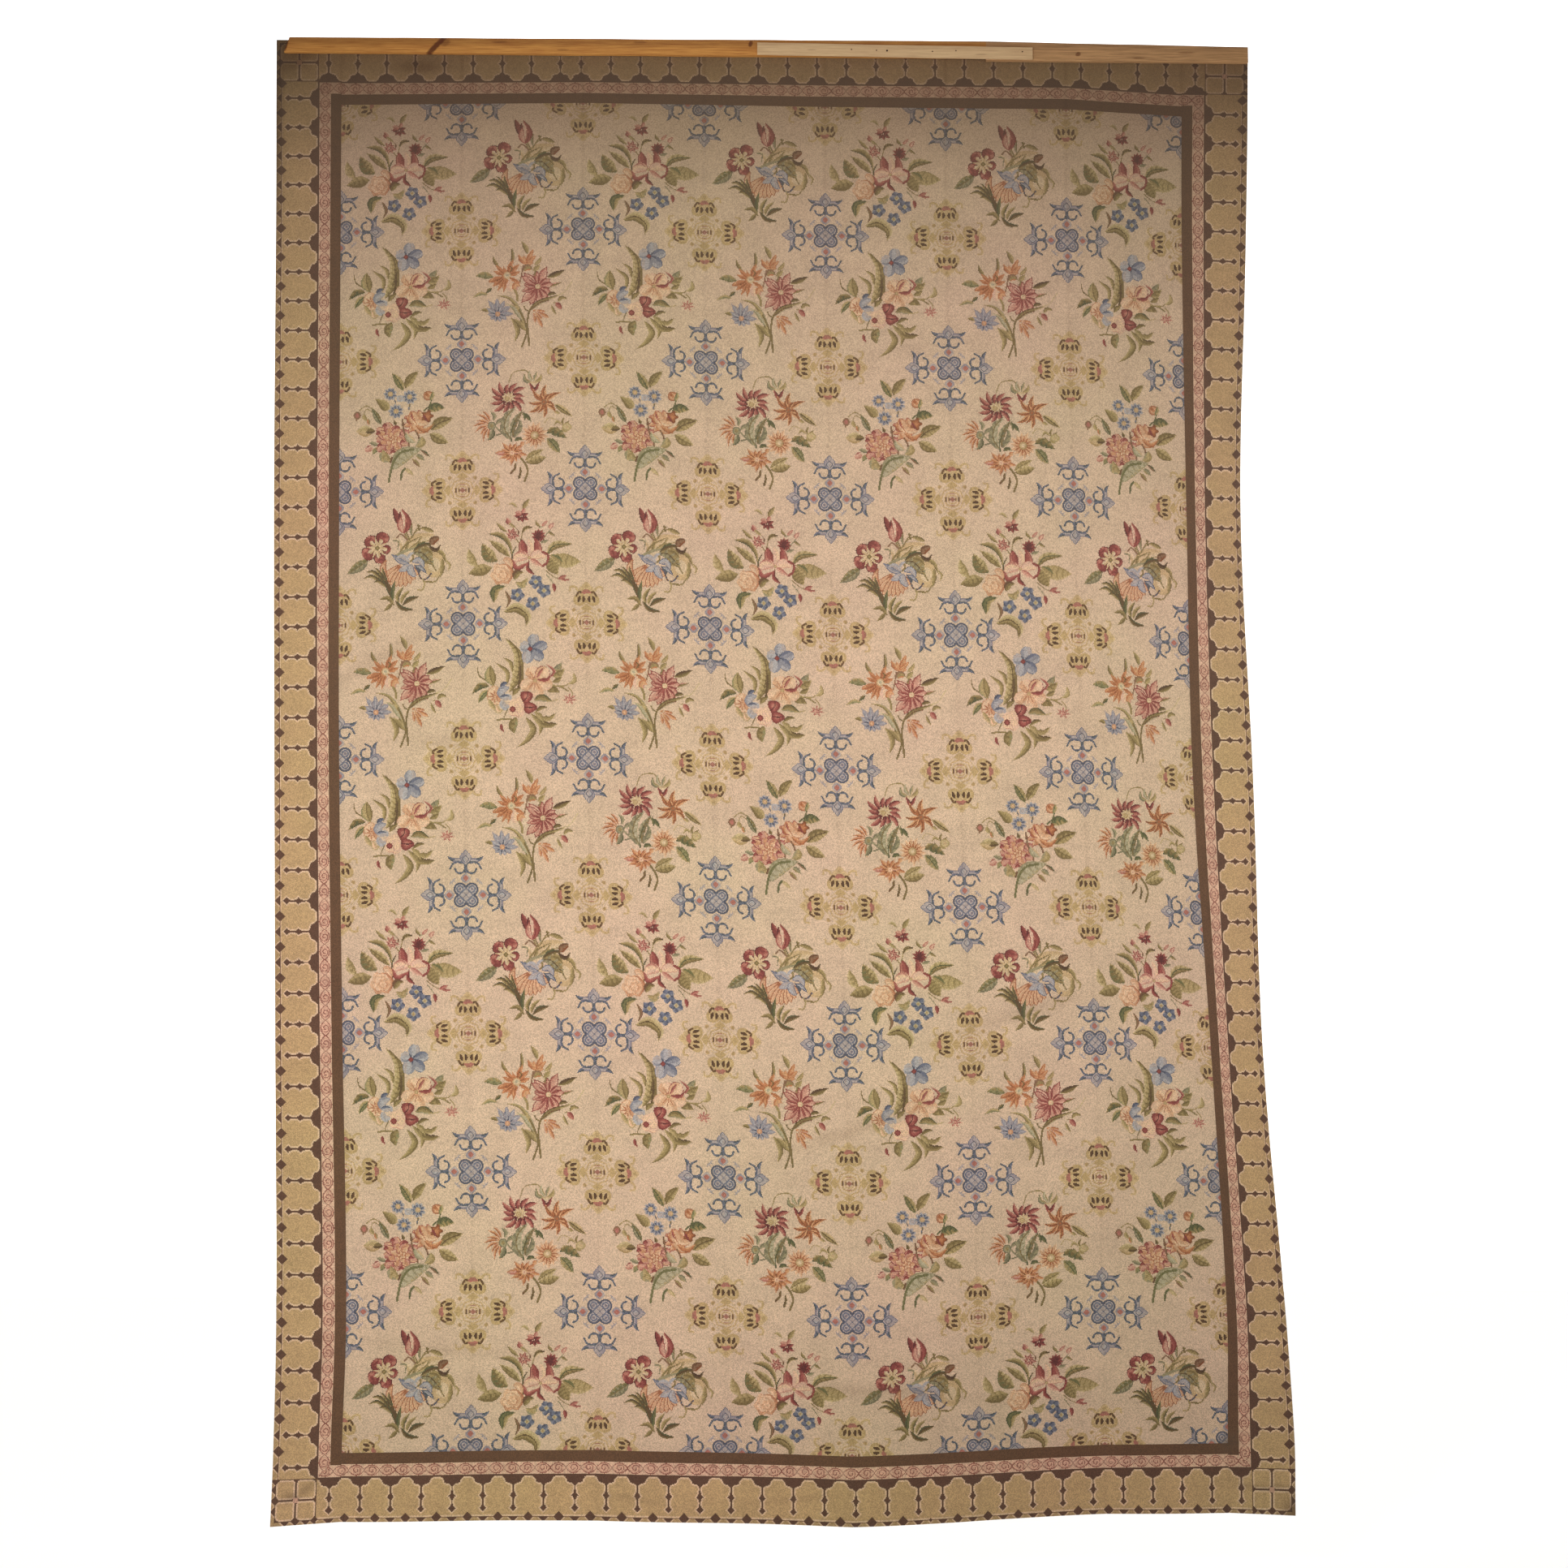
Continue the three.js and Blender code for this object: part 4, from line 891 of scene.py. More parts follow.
def blue_cross():
    """A knotwork square with four arms of paired scrolls under a pointed crown."""
    line, body = BLUE[1], MAUVE[1:]
    m = Motif(CROSS_SIZE, CROSS_SIZE, 21)
    for side in (-1, 1):
        m.stem(arm(side, (17, 14), (15.5, 18), (12, 20)), 1.3, MAUVE[1:])
        m.stem(arm(side, (12.5, 15.5), (15, 18)), 1.3, MAUVE[2:])
        wing = arm(side, (1, 42), (10, 42), (17.5, 43.6), (21.5, 46.5))
        m.leaf(wing, 7, body, edge=MAUVE[0], widest=0.3, blunt=0.8)
        m.leaf(arm(side, (12, 43), (17.5, 43.6), (21.8, 47)), 4, [TEAL, line])
        m.stem(arm(side, (2, 38.5), (9, 40), (15.4, 38), (18.6, 32)), 2.4, [TEAL, line])
        curl = arm(side, (13, 32), (10.8, 27.8), (6.5, 26.4), (2.4, 28.6), (0.5, 33))
        m.stem(curl, 2.5, [line, TEAL])
    m.stem(arm(1, (0, 28), (0, 40)), 3.4, [line, TEAL])
    m.leaf(arm(1, (0, 37), (0, 55)), 14, body, blunt=0.9, edge=line, tilt=0.2)
    m.leaf(arm(1, (0, 39.5), (0, 48.5)), 8, [BLUE[3], MAUVE[2]], tilt=0.2, edge=BLUE[0])
    m.leaf(arm(1, (0, 14), (0, 27)), 12, MAUVE[1:], tilt=0.2)
    m.leaf(arm(1, (0, 17), (0, 24.5)), 6, ROSE[:2] + wools("bar"), tilt=0.2, widest=0.5)
    chart = four_ways(m)
    x, y = np.abs(from_cross_middle())
    ring = np.hypot(x - 7.2, y - 7.2)
    square = (ring < 8.0) | (np.maximum(x, y) < 12)
    chart[square] = MAUVE[2]
    inner = square & ((ring < 5.7) | (np.maximum(x, y) < 9.4))
    chart[square & ~inner] = BLUE[0]
    chart[inner & (np.abs(ring - 3.7) < 0.9)] = line
    chart[inner & (ring < 1.6)] = MAUVE[0]
    chart[inner & (np.abs(x - y) < 0.8) & (ring > 4.8)] = MAUVE[0]
    chart[inner & (np.abs(x + y - 8.6) < 0.8) & (ring > 4.4)] = line
    chart[(x < 1.2) & (y < 1.2)] = line
    return chart


def gold_cross():
    """Four khaki roundels with dark seeds round a faint ringed middle."""
    seed, faint, bar = wools("seed"), wools("faint"), wools("bar")
    m = Motif(CROSS_SIZE, CROSS_SIZE, 22)
    m.disc(*arm(1, (0, 41)), 9, KHAKI[1:], squash=0.6, dark_rim=False)
    m.disc(*arm(1, (0, 45)), 4.8, KHAKI[1:], dark_rim=False)
    for side in (-1, 1):
        curl = arm(side, (9, 38), (14, 44), (19.5, 44), (20.5, 39.5))
        m.stem(curl, 3.2, KHAKI[1:], taper=0.35)
        m.disc(*arm(side, (7.8, 28)), 8.4, KHAKI[1:], squash=0.9)
        m.disc(*arm(side, (7, 34)), 6, KHAKI[1:], squash=0.7)
    m.disc(*arm(1, (0, 32)), 7.5, KHAKI[1:3])
    for side in (-1, 1):
        m.leaf(arm(side, (3.6, 24.8), (3.2, 33.2)), 4, seed + BROWN[:1], blunt=0.7)
        m.leaf(arm(side, (10.4, 25.2), (7.6, 33.2)), 4, seed + BROWN[:1], blunt=0.7)
        m.stem(arm(side, (12, 33.5), (9, 37.6), (4.6, 36.8)), 2.4, seed + BROWN[1:2])
        m.disc(*arm(side, (15.5, 15.8)), 2.3, faint + KHAKI[:1])
        m.stem(arm(side, (4, 19), (11, 13.5)), 1.2, KHAKI[2:])
    m.leaf(arm(1, (-5.8, 36.6), (0, 38.4), (5.8, 36.6)), 5.6, bar + ROSE[1:2], blunt=0.6)
    m.leaf(arm(1, (0, 13), (0, 23)), 12, faint + KHAKI[1:], tilt=0.2)
    chart = four_ways(m)
    right, down = from_cross_middle()
    checks = (right * 0.5 + down * 0.5) % 2 < 1
    x, y = np.abs(right), np.abs(down)
    span = np.maximum(x, y) + 0.35 * np.minimum(x, y)
    for radius in (14.0, 9.5, 5.5):
        ring = np.abs(span - radius) < 1.1
        chart[ring] = KHAKI[2]
        chart[ring & checks] = faint[0]
    chart[(np.abs(x - 7.8) < 0.9) & (y < 3)] = BROWN[1]
    chart[(np.abs(x - 4.2) < 0.8) & (y < 2)] = BROWN[2]
    chart[(np.abs(y - 7.6) < 0.9) & (x < 3)] = bar[0]
    chart[x + y < 3.4] = bar[0]
    return chart


# The border's bands, in stitches counted outwards from the field
STRIPE_END = 13
BAND_END = 28
SIDE_OUTER_LINE, END_OUTER_LINE = 45.8, 47.4
# The scroll band's rings, the curl inside each, and half the width of their lines
SCROLL_PITCH, SCROLL_HEIGHT = 18.4, 5.9
SCROLL_LINE = 0.62
CURL_PITCH, CURL_INNER, CURL_OUTER = 3.2, 1.0, 4.9
CURL_LINE = 0.17
# A cartouche, outwards from the bands: its dome, its shoulders, a bead at its waist and a knob
DOME_RADIUS, DOME_MIDDLE, DOME_END = 9.5, 9.6, 8.4
SHOULDER_WIDTH, SHOULDER_END = 7.8, 13
WAIST_START = 14.5
BEAD, BEAD_RADIUS = 23.4, 3.6
KNOB, KNOB_RADIUS = 37.4, 3.9
BEAD_OUTLINE = 5.6
NECK, HALF_CARTOUCHE, HALF_PITCH = 14, 17.4, 18.3
# The diamonds beyond the outer line, their outline, and a distance beyond any of them
DIAMOND, DIAMOND_OUTLINE, FAR = 6.2, 8.0, 99


def border_run(edges, length, outer_line):
    """One side of the border, as rows along it and columns outwards.

    edges are the places along it where one cartouche ends and the next begins.
    outer_line is counted from the bands.
    """
    pit, outline = wools("pit")[0], wools("outline")[0]
    edges = np.array([2 * edges[0] - edges[1], *edges, 2 * edges[-1] - edges[-2]])
    along = np.arange(length)[:, None] + 0.5
    out = np.arange(BORDER_STITCHES)[None, :] + 0.5
    chart = np.full((length, BORDER_STITCHES), pit, np.uint8)
    number = np.searchsorted(edges, along[:, 0]) - 1
    pitch = (edges[number + 1] - edges[number])[:, None]
    side = np.abs(along - (edges[number] + edges[number + 1])[:, None] / 2)
    between = pitch / 2 - side
    side = HALF_PITCH - between
    n = out - BAND_END
    # the cartouche: a dome on two shoulders, then two lobes that part at the bead
    dome = np.sqrt(np.clip(DOME_RADIUS ** 2 - (DOME_MIDDLE - n) ** 2, 0, None))
    slope = 1 - (n - DOME_END) / (SHOULDER_END - DOME_END)
    shoulder = DOME_MIDDLE + SHOULDER_WIDTH * np.sqrt(np.clip(1 - slope ** 2, 0, 1))
    pinch = HALF_CARTOUCHE - NECK
    to_bead = (n - WAIST_START) / (BEAD - WAIST_START)
    upper = HALF_CARTOUCHE - pinch * np.clip(to_bead, 0, 1) ** 3
    from_lobe = np.abs(n - (BEAD + KNOB) / 2) / ((KNOB - BEAD) / 2)
    lower = HALF_CARTOUCHE - pinch * np.clip(from_lobe, 0, 1) ** 3
    half = np.select([n < DOME_END, n < SHOULDER_END, n < BEAD], [dome, shoulder, upper], lower)
    half = np.where(n > KNOB, NECK + (n - KNOB), half)
    inside = (side < half) & (n > 0.5) & (n < outer_line)
    core = inside.copy()
    for _ in range(2):
        core[1:-1, 1:-1] &= core[:-2, 1:-1] & core[2:, 1:-1] & core[1:-1, :-2] & core[1:-1, 2:]
    chart[inside] = outline
    chart[core] = TAN[1]
    knob = between + np.abs(n - KNOB)
    bead = between + np.abs(n - BEAD)
    chart[(np.minimum(knob, bead) < BEAD_OUTLINE) & inside & (between > 1.2)] = outline
    chart[(knob < KNOB_RADIUS) | (bead < BEAD_RADIUS)] = pit
    # beyond the outer line: whole and half diamonds between scallops
    past = n - outer_line
    diamond = side + np.abs(past)
    half_diamond = np.where(past > -0.7, between + past, FAR)
    edge_band = np.broadcast_to(past > 0, chart.shape)
    chart[edge_band] = TAN[0]
    nearest = np.minimum(diamond, half_diamond)
    chart[edge_band & (nearest < DIAMOND_OUTLINE)] = outline
    chart[np.broadcast_to(np.abs(past) < 0.6, chart.shape)] = BROWN[2]
    chart[nearest < DIAMOND] = pit
    # the scroll band: a chain of rings that cross, each with a curl inside
    band = np.broadcast_to((out > STRIPE_END) & (out < BAND_END - 1), chart.shape)
    chart[band] = wools("band")[0]
    eye = (along % SCROLL_PITCH) - SCROLL_PITCH / 2
    level = out - (STRIPE_END + BAND_END - 1) / 2
    share = np.clip(np.cos(np.pi * eye / SCROLL_PITCH), 0, 1)
    wave = SCROLL_HEIGHT * share ** 0.75
    chart[band & (np.abs(level) < wave) & (np.abs(eye) < 7)] = wools("band")[1]
    radius = np.hypot(eye * 0.92, level)
    turn = np.arctan2(level, eye) / math.tau
    spiral = np.abs(((radius / CURL_PITCH - turn + 0.1) % 1) - 0.5) < CURL_LINE
    curl = spiral & (radius < CURL_OUTER) & (radius > CURL_INNER)
    chain = np.abs(np.abs(level) - wave) < SCROLL_LINE
    chart[band & (chain | curl)] = wools("scroll")[0]
    chart[np.broadcast_to(out < STRIPE_END, chart.shape)] = wools("stripe")[0]
    return chart


# The corner's square of four panels, and the smaller diamonds beyond it
CORNER_LINE = 47.6
PANEL, PANEL_ROUND, PANEL_OUTLINE = 6, 3.2, 5.0
CORNER_HEART = 3.2
CORNER_DIAMOND, CORNER_DIAMOND_OUTLINE = 5.4, 7.0


def corner_square():
    """The square where two sides of the border meet, outwards to the right and down."""
    size = BORDER_STITCHES - BAND_END
    pit, outline = wools("pit")[0], wools("outline")[0]
    place = np.arange(size) + 0.5
    down, right = place[:, None], place[None, :]
    half = CORNER_LINE / 2
    quarter = CORNER_LINE / 4
    chart = np.full((size, size), TAN[0], np.uint8)
    offset_x = np.abs(np.abs(right - half) - quarter)
    offset_y = np.abs(np.abs(down - half) - quarter)
    square = (right < CORNER_LINE) & (down < CORNER_LINE)
    chart[square] = pit
    panel = np.hypot(np.maximum(offset_x - PANEL, 0), np.maximum(offset_y - PANEL, 0))
    chart[square & (panel < PANEL_OUTLINE)] = outline
    chart[square & (panel < PANEL_ROUND)] = TAN[1]
    heart = np.maximum(np.abs(right - half), np.abs(down - half))
    chart[square & (heart < CORNER_HEART)] = wools("band")[1]
    for one, other in ((right, down), (down, right)):
        past = one - CORNER_LINE
        whole = np.minimum(np.abs(other - 1), np.abs(other - half)) + np.abs(past)
        halves = np.abs(np.abs(other - half) - quarter) + np.where(past > -0.7, past, FAR)
        nearest = np.minimum(whole, halves)
        beside = other < CORNER_LINE + 3
        chart[(past > 0) & beside & (nearest < CORNER_DIAMOND_OUTLINE)] = outline
        chart[(nearest < CORNER_DIAMOND) & beside] = pit
    return chart


def even_edges(first, last, count):
    """Where cartouches end, from the first place to the last with even steps between."""
    return [first + (last - first) * number / count for number in range(count + 1)]


def stamp(field, squares, left, top):
    """Works a motif into the field, cut off at its edges."""
    rows, columns = squares.shape
    y0, x0 = max(0, -top), max(0, -left)
    y1 = min(rows, field.shape[0] - top)
    x1 = min(columns, field.shape[1] - left)
    part = squares[y0:y1, x0:x1]
    target = field[top + y0:top + y1, left + x0:left + x1]
    worked = part != EMPTY
    target[worked] = part[worked]


# The bouquets of each row of the field, by their letters below
ROWS = ["ABABABA", "CDCDCDC", "EFEFEFE", "BABABAB", "DCDCDCD",
        "CDFEFEF", "ABABABA", "CDCDCDC", "EFEFEFE", "BABABAB"]


def work_field(field):
    """Works the bouquets in the middle of the strips, and the crosses over the seams."""
    bouquets = {
        "A": lily_bouquet(), "B": tulip_bouquet(), "C": horn_bouquet(),
        "D": star_bouquet(), "E": peony_bouquet(), "F": aster_bouquet(),
    }
    step = REPEAT_MM * FIELD_STITCHES / FIELD_HEIGHT
    for number, letters in enumerate(ROWS):
        for strip, letter in enumerate(letters):
            motif, anchor = bouquets[letter]
            left = round((strip + 0.5) * STRIP_STITCHES - anchor[0])
            top = round((number + 0.5) * step - anchor[1])
            stamp(field, motif.squares, left, top)
    crosses = [gold_cross(), blue_cross()]
    half = CROSS_SIZE // 2
    for number in range(len(ROWS) + 1):
        for line in range(STRIP_COUNT + 1):
            cross = crosses[(line + number) % 2]
            stamp(field, cross, line * STRIP_STITCHES - half, round(number * step) - half)


def work_border(chart):
    """Works the four sides of the border and the squares at their corners."""
    rim = BORDER_STITCHES
    side_length = FIELD_STITCHES + 2 * BAND_END
    end_length = FIELD_ACROSS + 2 * BAND_END
    # the end rows were worked from both corners, and one cartouche is narrow where they meet
    bottom = even_edges(14.5, 268.3, 7) + even_edges(305.5, 715, 11) + even_edges(744, 1107, 10)
    top = even_edges(12, 303.5, 8) + even_edges(329.5, 1108.5, 21)
    left = even_edges(21, 1707, 45)
    right = even_edges(26, 1710, 45)
    y, x = np.mgrid[:chart.shape[0], :chart.shape[1]]
    left_out, right_out = rim - 1 - x, x - (rim + FIELD_ACROSS)
    top_out, bottom_out = rim - 1 - y, y - (rim + FIELD_STITCHES)
    along_side = np.clip(y - rim + BAND_END, 0, side_length - 1)
    along_end = np.clip(x - rim + BAND_END, 0, end_length - 1)
    beside = np.maximum(left_out, right_out) >= np.maximum(top_out, bottom_out)
    for edges, out in ((left, left_out), (right, right_out)):
        run = border_run(edges, side_length, SIDE_OUTER_LINE)
        own = (out >= 0) & beside
        chart[own] = run[along_side[own], out[own]]
    for edges, out in ((top, top_out), (bottom, bottom_out)):
        run = border_run(edges, end_length, END_OUTER_LINE)
        own = (out >= 0) & ~beside
        chart[own] = run[along_end[own], out[own]]
    corner = corner_square()
    size = corner.shape[0]
    chart[:size, :size] = corner[::-1, ::-1]
    chart[:size, -size:] = corner[::-1]
    chart[-size:, :size] = corner[:, ::-1]
    chart[-size:, -size:] = corner


def carpet_chart():
    """The whole carpet, a square for a stitch, seen on its worked face."""
    rim = BORDER_STITCHES
    chart = np.full((FIELD_STITCHES + 2 * rim, FIELD_ACROSS + 2 * rim), GROUND, np.uint8)
    work_field(chart[rim:-rim, rim:-rim])
    work_border(chart)
    return chart


# Materials
VIEW_PLACE, OBJECT_PLACE = 0, 3
# How many wools a packed number can tell apart, and how many one colour ramp holds
WOOL_LIMIT = 64
RAMP_STEPS = 32
DUST_COLOUR, DUST_VEIL = "a08669", 0.45
# The darkening that soil and painted shade give
GRIME_AND_SHADE_TINT = (0.28, 0.22, 0.16, 1)
CANVAS_COLOUR, WORN_COLOUR = "a58a66", "b79c78"
KNOT_COLOUR = "5a2c17"


def link(item):
    """Puts an object into the scene."""
    bpy.context.scene.collection.objects.link(item)
    return item


class Nodes:
    """Adds nodes to one tree, and gives back the socket that each one is used for."""

    def __init__(self, tree):
        self.tree = tree
        tree.nodes.clear()

    def add(self, kind, inputs=None, output=0, **settings):
        node = self.tree.nodes.new(kind)
        for name, value in settings.items():
            setattr(node, name, value)
        for key, value in (inputs or {}).items():
            if isinstance(value, bpy.types.NodeSocket):
                self.tree.links.new(value, node.inputs[key])
            else:
                node.inputs[key].default_value = value
        return node if output is None else node.outputs[output]

    def math(self, operation, a, b=0.0, c=0.0):
        return self.add("ShaderNodeMath", {0: a, 1: b, 2: c}, operation=operation)

    def mix(self, share, a, b, blend="MIX"):
        inputs = {0: share, 6: a, 7: b}
        return self.add("ShaderNodeMix", inputs, output=2, data_type="RGBA", blend_type=blend)

    def noise(self, place, scale, detail=2.0, rough=0.5):
        inputs = {"Vector": place, "Scale": scale, "Detail": detail, "Roughness": rough}
        return self.add("ShaderNodeTexNoise", inputs)

    def fit(self, value, low, high, to_low, to_high):
        return self.add("ShaderNodeMapRange", {0: value, 1: low, 2: high, 3: to_low, 4: to_high})

    def body(self):
        """The place on the object itself, in metres."""
        return self.add("ShaderNodeTexCoord", output=OBJECT_PLACE)

    def stitches(self):
        """The place on the stitch map, where a stitch is 1 by 1."""
        return self.add("ShaderNodeUVMap", uv_map="stitch")

    def stitch_chance(self, place):
        """A number from 0 to 1 that each stitch has of its own."""
        stitch = self.vector("FLOOR", place)
        return self.add("ShaderNodeTexWhiteNoise", {"Vector": stitch}, noise_dimensions="2D")

    def vector(self, operation, a, b=(0, 0, 0)):
        return self.add("ShaderNodeVectorMath", {0: a, 1: b}, operation=operation)

    def split(self, place):
        """The three parts of a place."""
        return self.add("ShaderNodeSeparateXYZ", {0: place}, output=None).outputs

    def varied(self, colour, value):
        return self.add("ShaderNodeHueSaturation", {"Value": value, "Color": colour})

    def bump(self, height, strength, **more):
        return self.add("ShaderNodeBump", {"Strength": strength, "Height": height, **more})

    def steps(self, share, colours):
        """The colour that a share from 0 to 1 picks from even steps."""
        node = self.add("ShaderNodeValToRGB", {0: share}, output=None)
        stops = node.color_ramp
        stops.interpolation = "CONSTANT"
        while len(stops.elements) < len(colours):
            stops.elements.new(0.5)
        for number, (stop, colour) in enumerate(zip(stops.elements, colours)):
            stop.position = number / len(colours)
            stop.color = colour
        return node.outputs[0]


def linear(shade):
    """A hex shade as linear red, green, blue and 1."""
    channels = [int(shade[i:i + 2], 16) / 255 for i in (0, 2, 4)]
    return (*[c / 12.92 if c <= 0.04045 else ((c + 0.055) / 1.055) ** 2.4 for c in channels], 1)


def new_material(name):
    """An empty material, and the means to add its nodes."""
    material = bpy.data.materials.new(name)
    material.use_nodes = True
    return material, Nodes(material.node_tree)


def wool_number(n, place):
    """Reads which wool the stitch at a place on the stitch map is worked in."""
    right, down, _ = n.split(place)
    column = n.math("FLOOR", n.math("MODULO", right, CELL))
    row = n.math("FLOOR", n.math("MODULO", down, CELL))
    packed = None
    for number in range(CELL):
        own = n.add("ShaderNodeAttribute", output=2, attribute_name=f"row_{number}")
        here = n.math("COMPARE", row, number, 0.5)
        packed = n.math("MULTIPLY_ADD", own, here, packed if packed else 0.0)
    for number in range(1, CELL):
        past = n.math("GREATER_THAN", column, number - 0.5)
        packed = n.math("DIVIDE", packed, n.math("MULTIPLY_ADD", past, WOOL_LIMIT - 1, 1.0))
    return n.math("FLOOR", n.math("MODULO", n.math("FLOOR", packed), WOOL_LIMIT))


def wool_colour(n, number):
    """The wool's colour, from two ramps that hold half of the wools each."""
    shades = [linear(shade) for _, shade in WOOLS]
    shades += [shades[-1]] * (WOOL_LIMIT - len(shades))
    step = 1 / RAMP_STEPS
    low = n.steps(n.math("MULTIPLY_ADD", number, step, step / 2), shades[:RAMP_STEPS])
    high = n.steps(n.math("MULTIPLY_ADD", number, step, step / 2 - 1), shades[RAMP_STEPS:])
    return n.mix(n.math("GREATER_THAN", number, RAMP_STEPS - 0.5), low, high)


def worked_wool(name):
    """The face of the needlework: slanted stitches of fuzzy wool, uneven in dye and wear, soiled and darkened
    by painted shade.
    """
    material, n = new_material(name)
    place = n.stitches()
    body = n.body()
    colour = wool_colour(n, wool_number(n, place))
    rosy = n.mix(1.0, colour, linear("fff8f5"), "MULTIPLY")
    greenish = n.mix(1.0, colour, linear("f9faee"), "MULTIPLY")
    dye = n.fit(n.noise(body, 1.3, 3.0, 0.55), 0.35, 0.65, 0.0, 1.0)
    colour = n.mix(dye, rosy, greenish)
    each = n.fit(n.stitch_chance(place), 0, 1, 0.75, 1.23)
    patches = n.fit(n.noise(body, 9.0, 4.0, 0.6), 0.3, 0.7, 0.93, 1.06)
    drawn = n.vector("MULTIPLY", body, (1.5, 1, 42))
    rows = n.fit(n.noise(drawn, 1.0, 4.0, 0.6), 0.3, 0.7, 0.96, 1.03)
    value = n.math("MULTIPLY", n.math("MULTIPLY", each, patches), rows)
    # Soil, and painted shade towards the top, under the batten and in crease troughs
    colour = soiled_and_shaded(n, n.varied(colour, value))
    fuzz = n.noise(body, 900.0, 2.0, 0.7)
    height = n.math("MULTIPLY_ADD", fuzz, 0.5, stitch_height(n, place))
    finish(n, colour, n.bump(height, 0.6, Distance=0.0012), roughness=0.92, sheen=0.25)
    return material


def soiled_and_shaded(n, colour):
    """Veils a colour with dust and darkens it, by how soiled the cloth is there and how much shade is painted
    on it.
    """
    share = n.add("ShaderNodeAttribute", output=2, attribute_name="soil_and_shade")
    veiled = n.mix(n.math("MULTIPLY", share, DUST_VEIL), colour, linear(DUST_COLOUR))
    dark = n.mix(1.0, veiled, GRIME_AND_SHADE_TINT, "MULTIPLY")
    return n.mix(share, veiled, dark)


def stitch_height(n, place):
    """Each stitch is a short slanted strand, high in its middle."""
    part_right, part_down, _ = n.split(n.vector("FRACTION", place))
    right = n.math("SUBTRACT", part_right, 0.5)
    down = n.math("SUBTRACT", part_down, 0.5)
    beside = n.math("MULTIPLY", n.math("ADD", right, down), 1.25)
    along = n.math("MULTIPLY", n.math("SUBTRACT", right, down), 0.75)
    spread = n.math("ADD", n.math("MULTIPLY", beside, beside), n.math("MULTIPLY", along, along))
    return n.math("MAXIMUM", n.math("SUBTRACT", 1.0, n.math("MULTIPLY", spread, 2.6)), 0.0)


def finish(n, colour, bump, roughness, sheen=0.0):
    """Ends a material with its one shader."""
    shader = n.add("ShaderNodeBsdfPrincipled", {
        "Base Color": colour, "Normal": bump, "Roughness": roughness,
        "Specular IOR Level": 0.2, "Sheen Weight": sheen, "Sheen Roughness": 0.6})
    n.add("ShaderNodeOutputMaterial", {0: shader}, output=None)


def wool_back(name):
    """The back of the needlework: canvas between muted ends of the same wools."""
    material, n = new_material(name)
    place = n.stitches()
    body = n.body()
    colour = wool_colour(n, wool_number(n, place))
    part_right, _, _ = n.split(n.vector("FRACTION", place))
    strand = n.math("ABSOLUTE", n.math("SUBTRACT", part_right, 0.5))
    canvas = n.fit(strand, 0.3, 0.42, 0.0, 1.0)
    worn = n.fit(n.stitch_chance(place), 0.0, 1.0, 0.15, 0.55)
    colour = n.mix(worn, colour, linear(WORN_COLOUR))
    colour = n.mix(n.math("MULTIPLY", canvas, 0.7), colour, linear(CANVAS_COLOUR))
    patches = n.fit(n.noise(body, 5.0, 4.0, 0.6), 0.3, 0.7, 0.82, 1.0)
    # Soil and painted shade, as on the face
    colour = soiled_and_shaded(n, n.varied(colour, patches))
    fuzz = n.noise(body, 700.0, 2.0, 0.7)
    height = n.math("MULTIPLY_ADD", fuzz, 0.6, n.math("SUBTRACT", 1.0, strand))
    finish(n, colour, n.bump(height, 0.5, Distance=0.001), roughness=0.95, sheen=0.15)
    return material


# Cloth meshes: how far a sheet's rim is rounded, and the gap between two sheets, in millimetres
CHART = carpet_chart()
ROUND_OFF = 0.3
SEWN_GAP = 0.04


def flat_places(start, cells, size):
    """The places of a sheet's cells along one side, drawn in a little at both ends."""
    places = start + np.arange(cells + 1) * size / cells
    places[0] += SEWN_GAP / 2
    places[-1] -= SEWN_GAP / 2
    return places


def hung_places(across, depth):
    """Where the worked face of a sheet hangs, in millimetres: right, back and up."""
    x, y = across[None, :], depth[:, None]
    right = x + read_table(DRIFT, across, depth)
    up = -y + read_table(LIFT, across, depth)
    fine = fold_height(x, y, CREASES) + cockle(x, y)
    back = face_depth(x, y) - fine * ramp(y, FINE_START, FINE_FULL)
    return right, back, up


def sheet_polygons(rows, columns):
    """The quads of a closed sheet: its face, its back, then its rim. Gives back the rim's line too."""
    line = columns + 1
    layer = (rows + 1) * line
    row, column = np.mgrid[:rows, :columns]
    corner = (row * line + column).ravel()
    below = corner + line
    face = np.stack([corner, below, below + 1, corner + 1], 1)
    back = np.stack([corner, corner + 1, below + 1, below], 1) + layer
    left_side = np.arange(rows) * line
    top_side = np.arange(columns)
    rim_line = np.concatenate([left_side, rows * line + top_side,
                               left_side[::-1] + line + columns, top_side[::-1] + 1])
    ahead = np.roll(rim_line, -1)
    rim = np.stack([rim_line, rim_line + layer, ahead + layer, ahead], 1)
    return np.concatenate([face, back, rim]), rim_line


def quad_mesh(name, vertices, polygons, slots):
    """A smooth mesh of quads, each with the number of its material."""
    mesh = bpy.data.meshes.new(name)
    mesh.vertices.add(len(vertices))
    mesh.vertices.foreach_set("co", vertices.ravel())
    mesh.loops.add(polygons.size)
    mesh.loops.foreach_set("vertex_index", polygons.ravel().astype(np.int32))
    mesh.polygons.add(len(polygons))
    mesh.polygons.foreach_set("loop_start", np.arange(len(polygons), dtype=np.int32) * 4)
    mesh.polygons.foreach_set("material_index", slots)
    mesh.update(calc_edges=True)
    mesh.polygons.foreach_set("use_smooth", np.ones(len(polygons), bool))
    return mesh


def add_values(mesh, name, kind, domain, values):
    mesh.attributes.new(name, kind, domain).data.foreach_set("value", values)


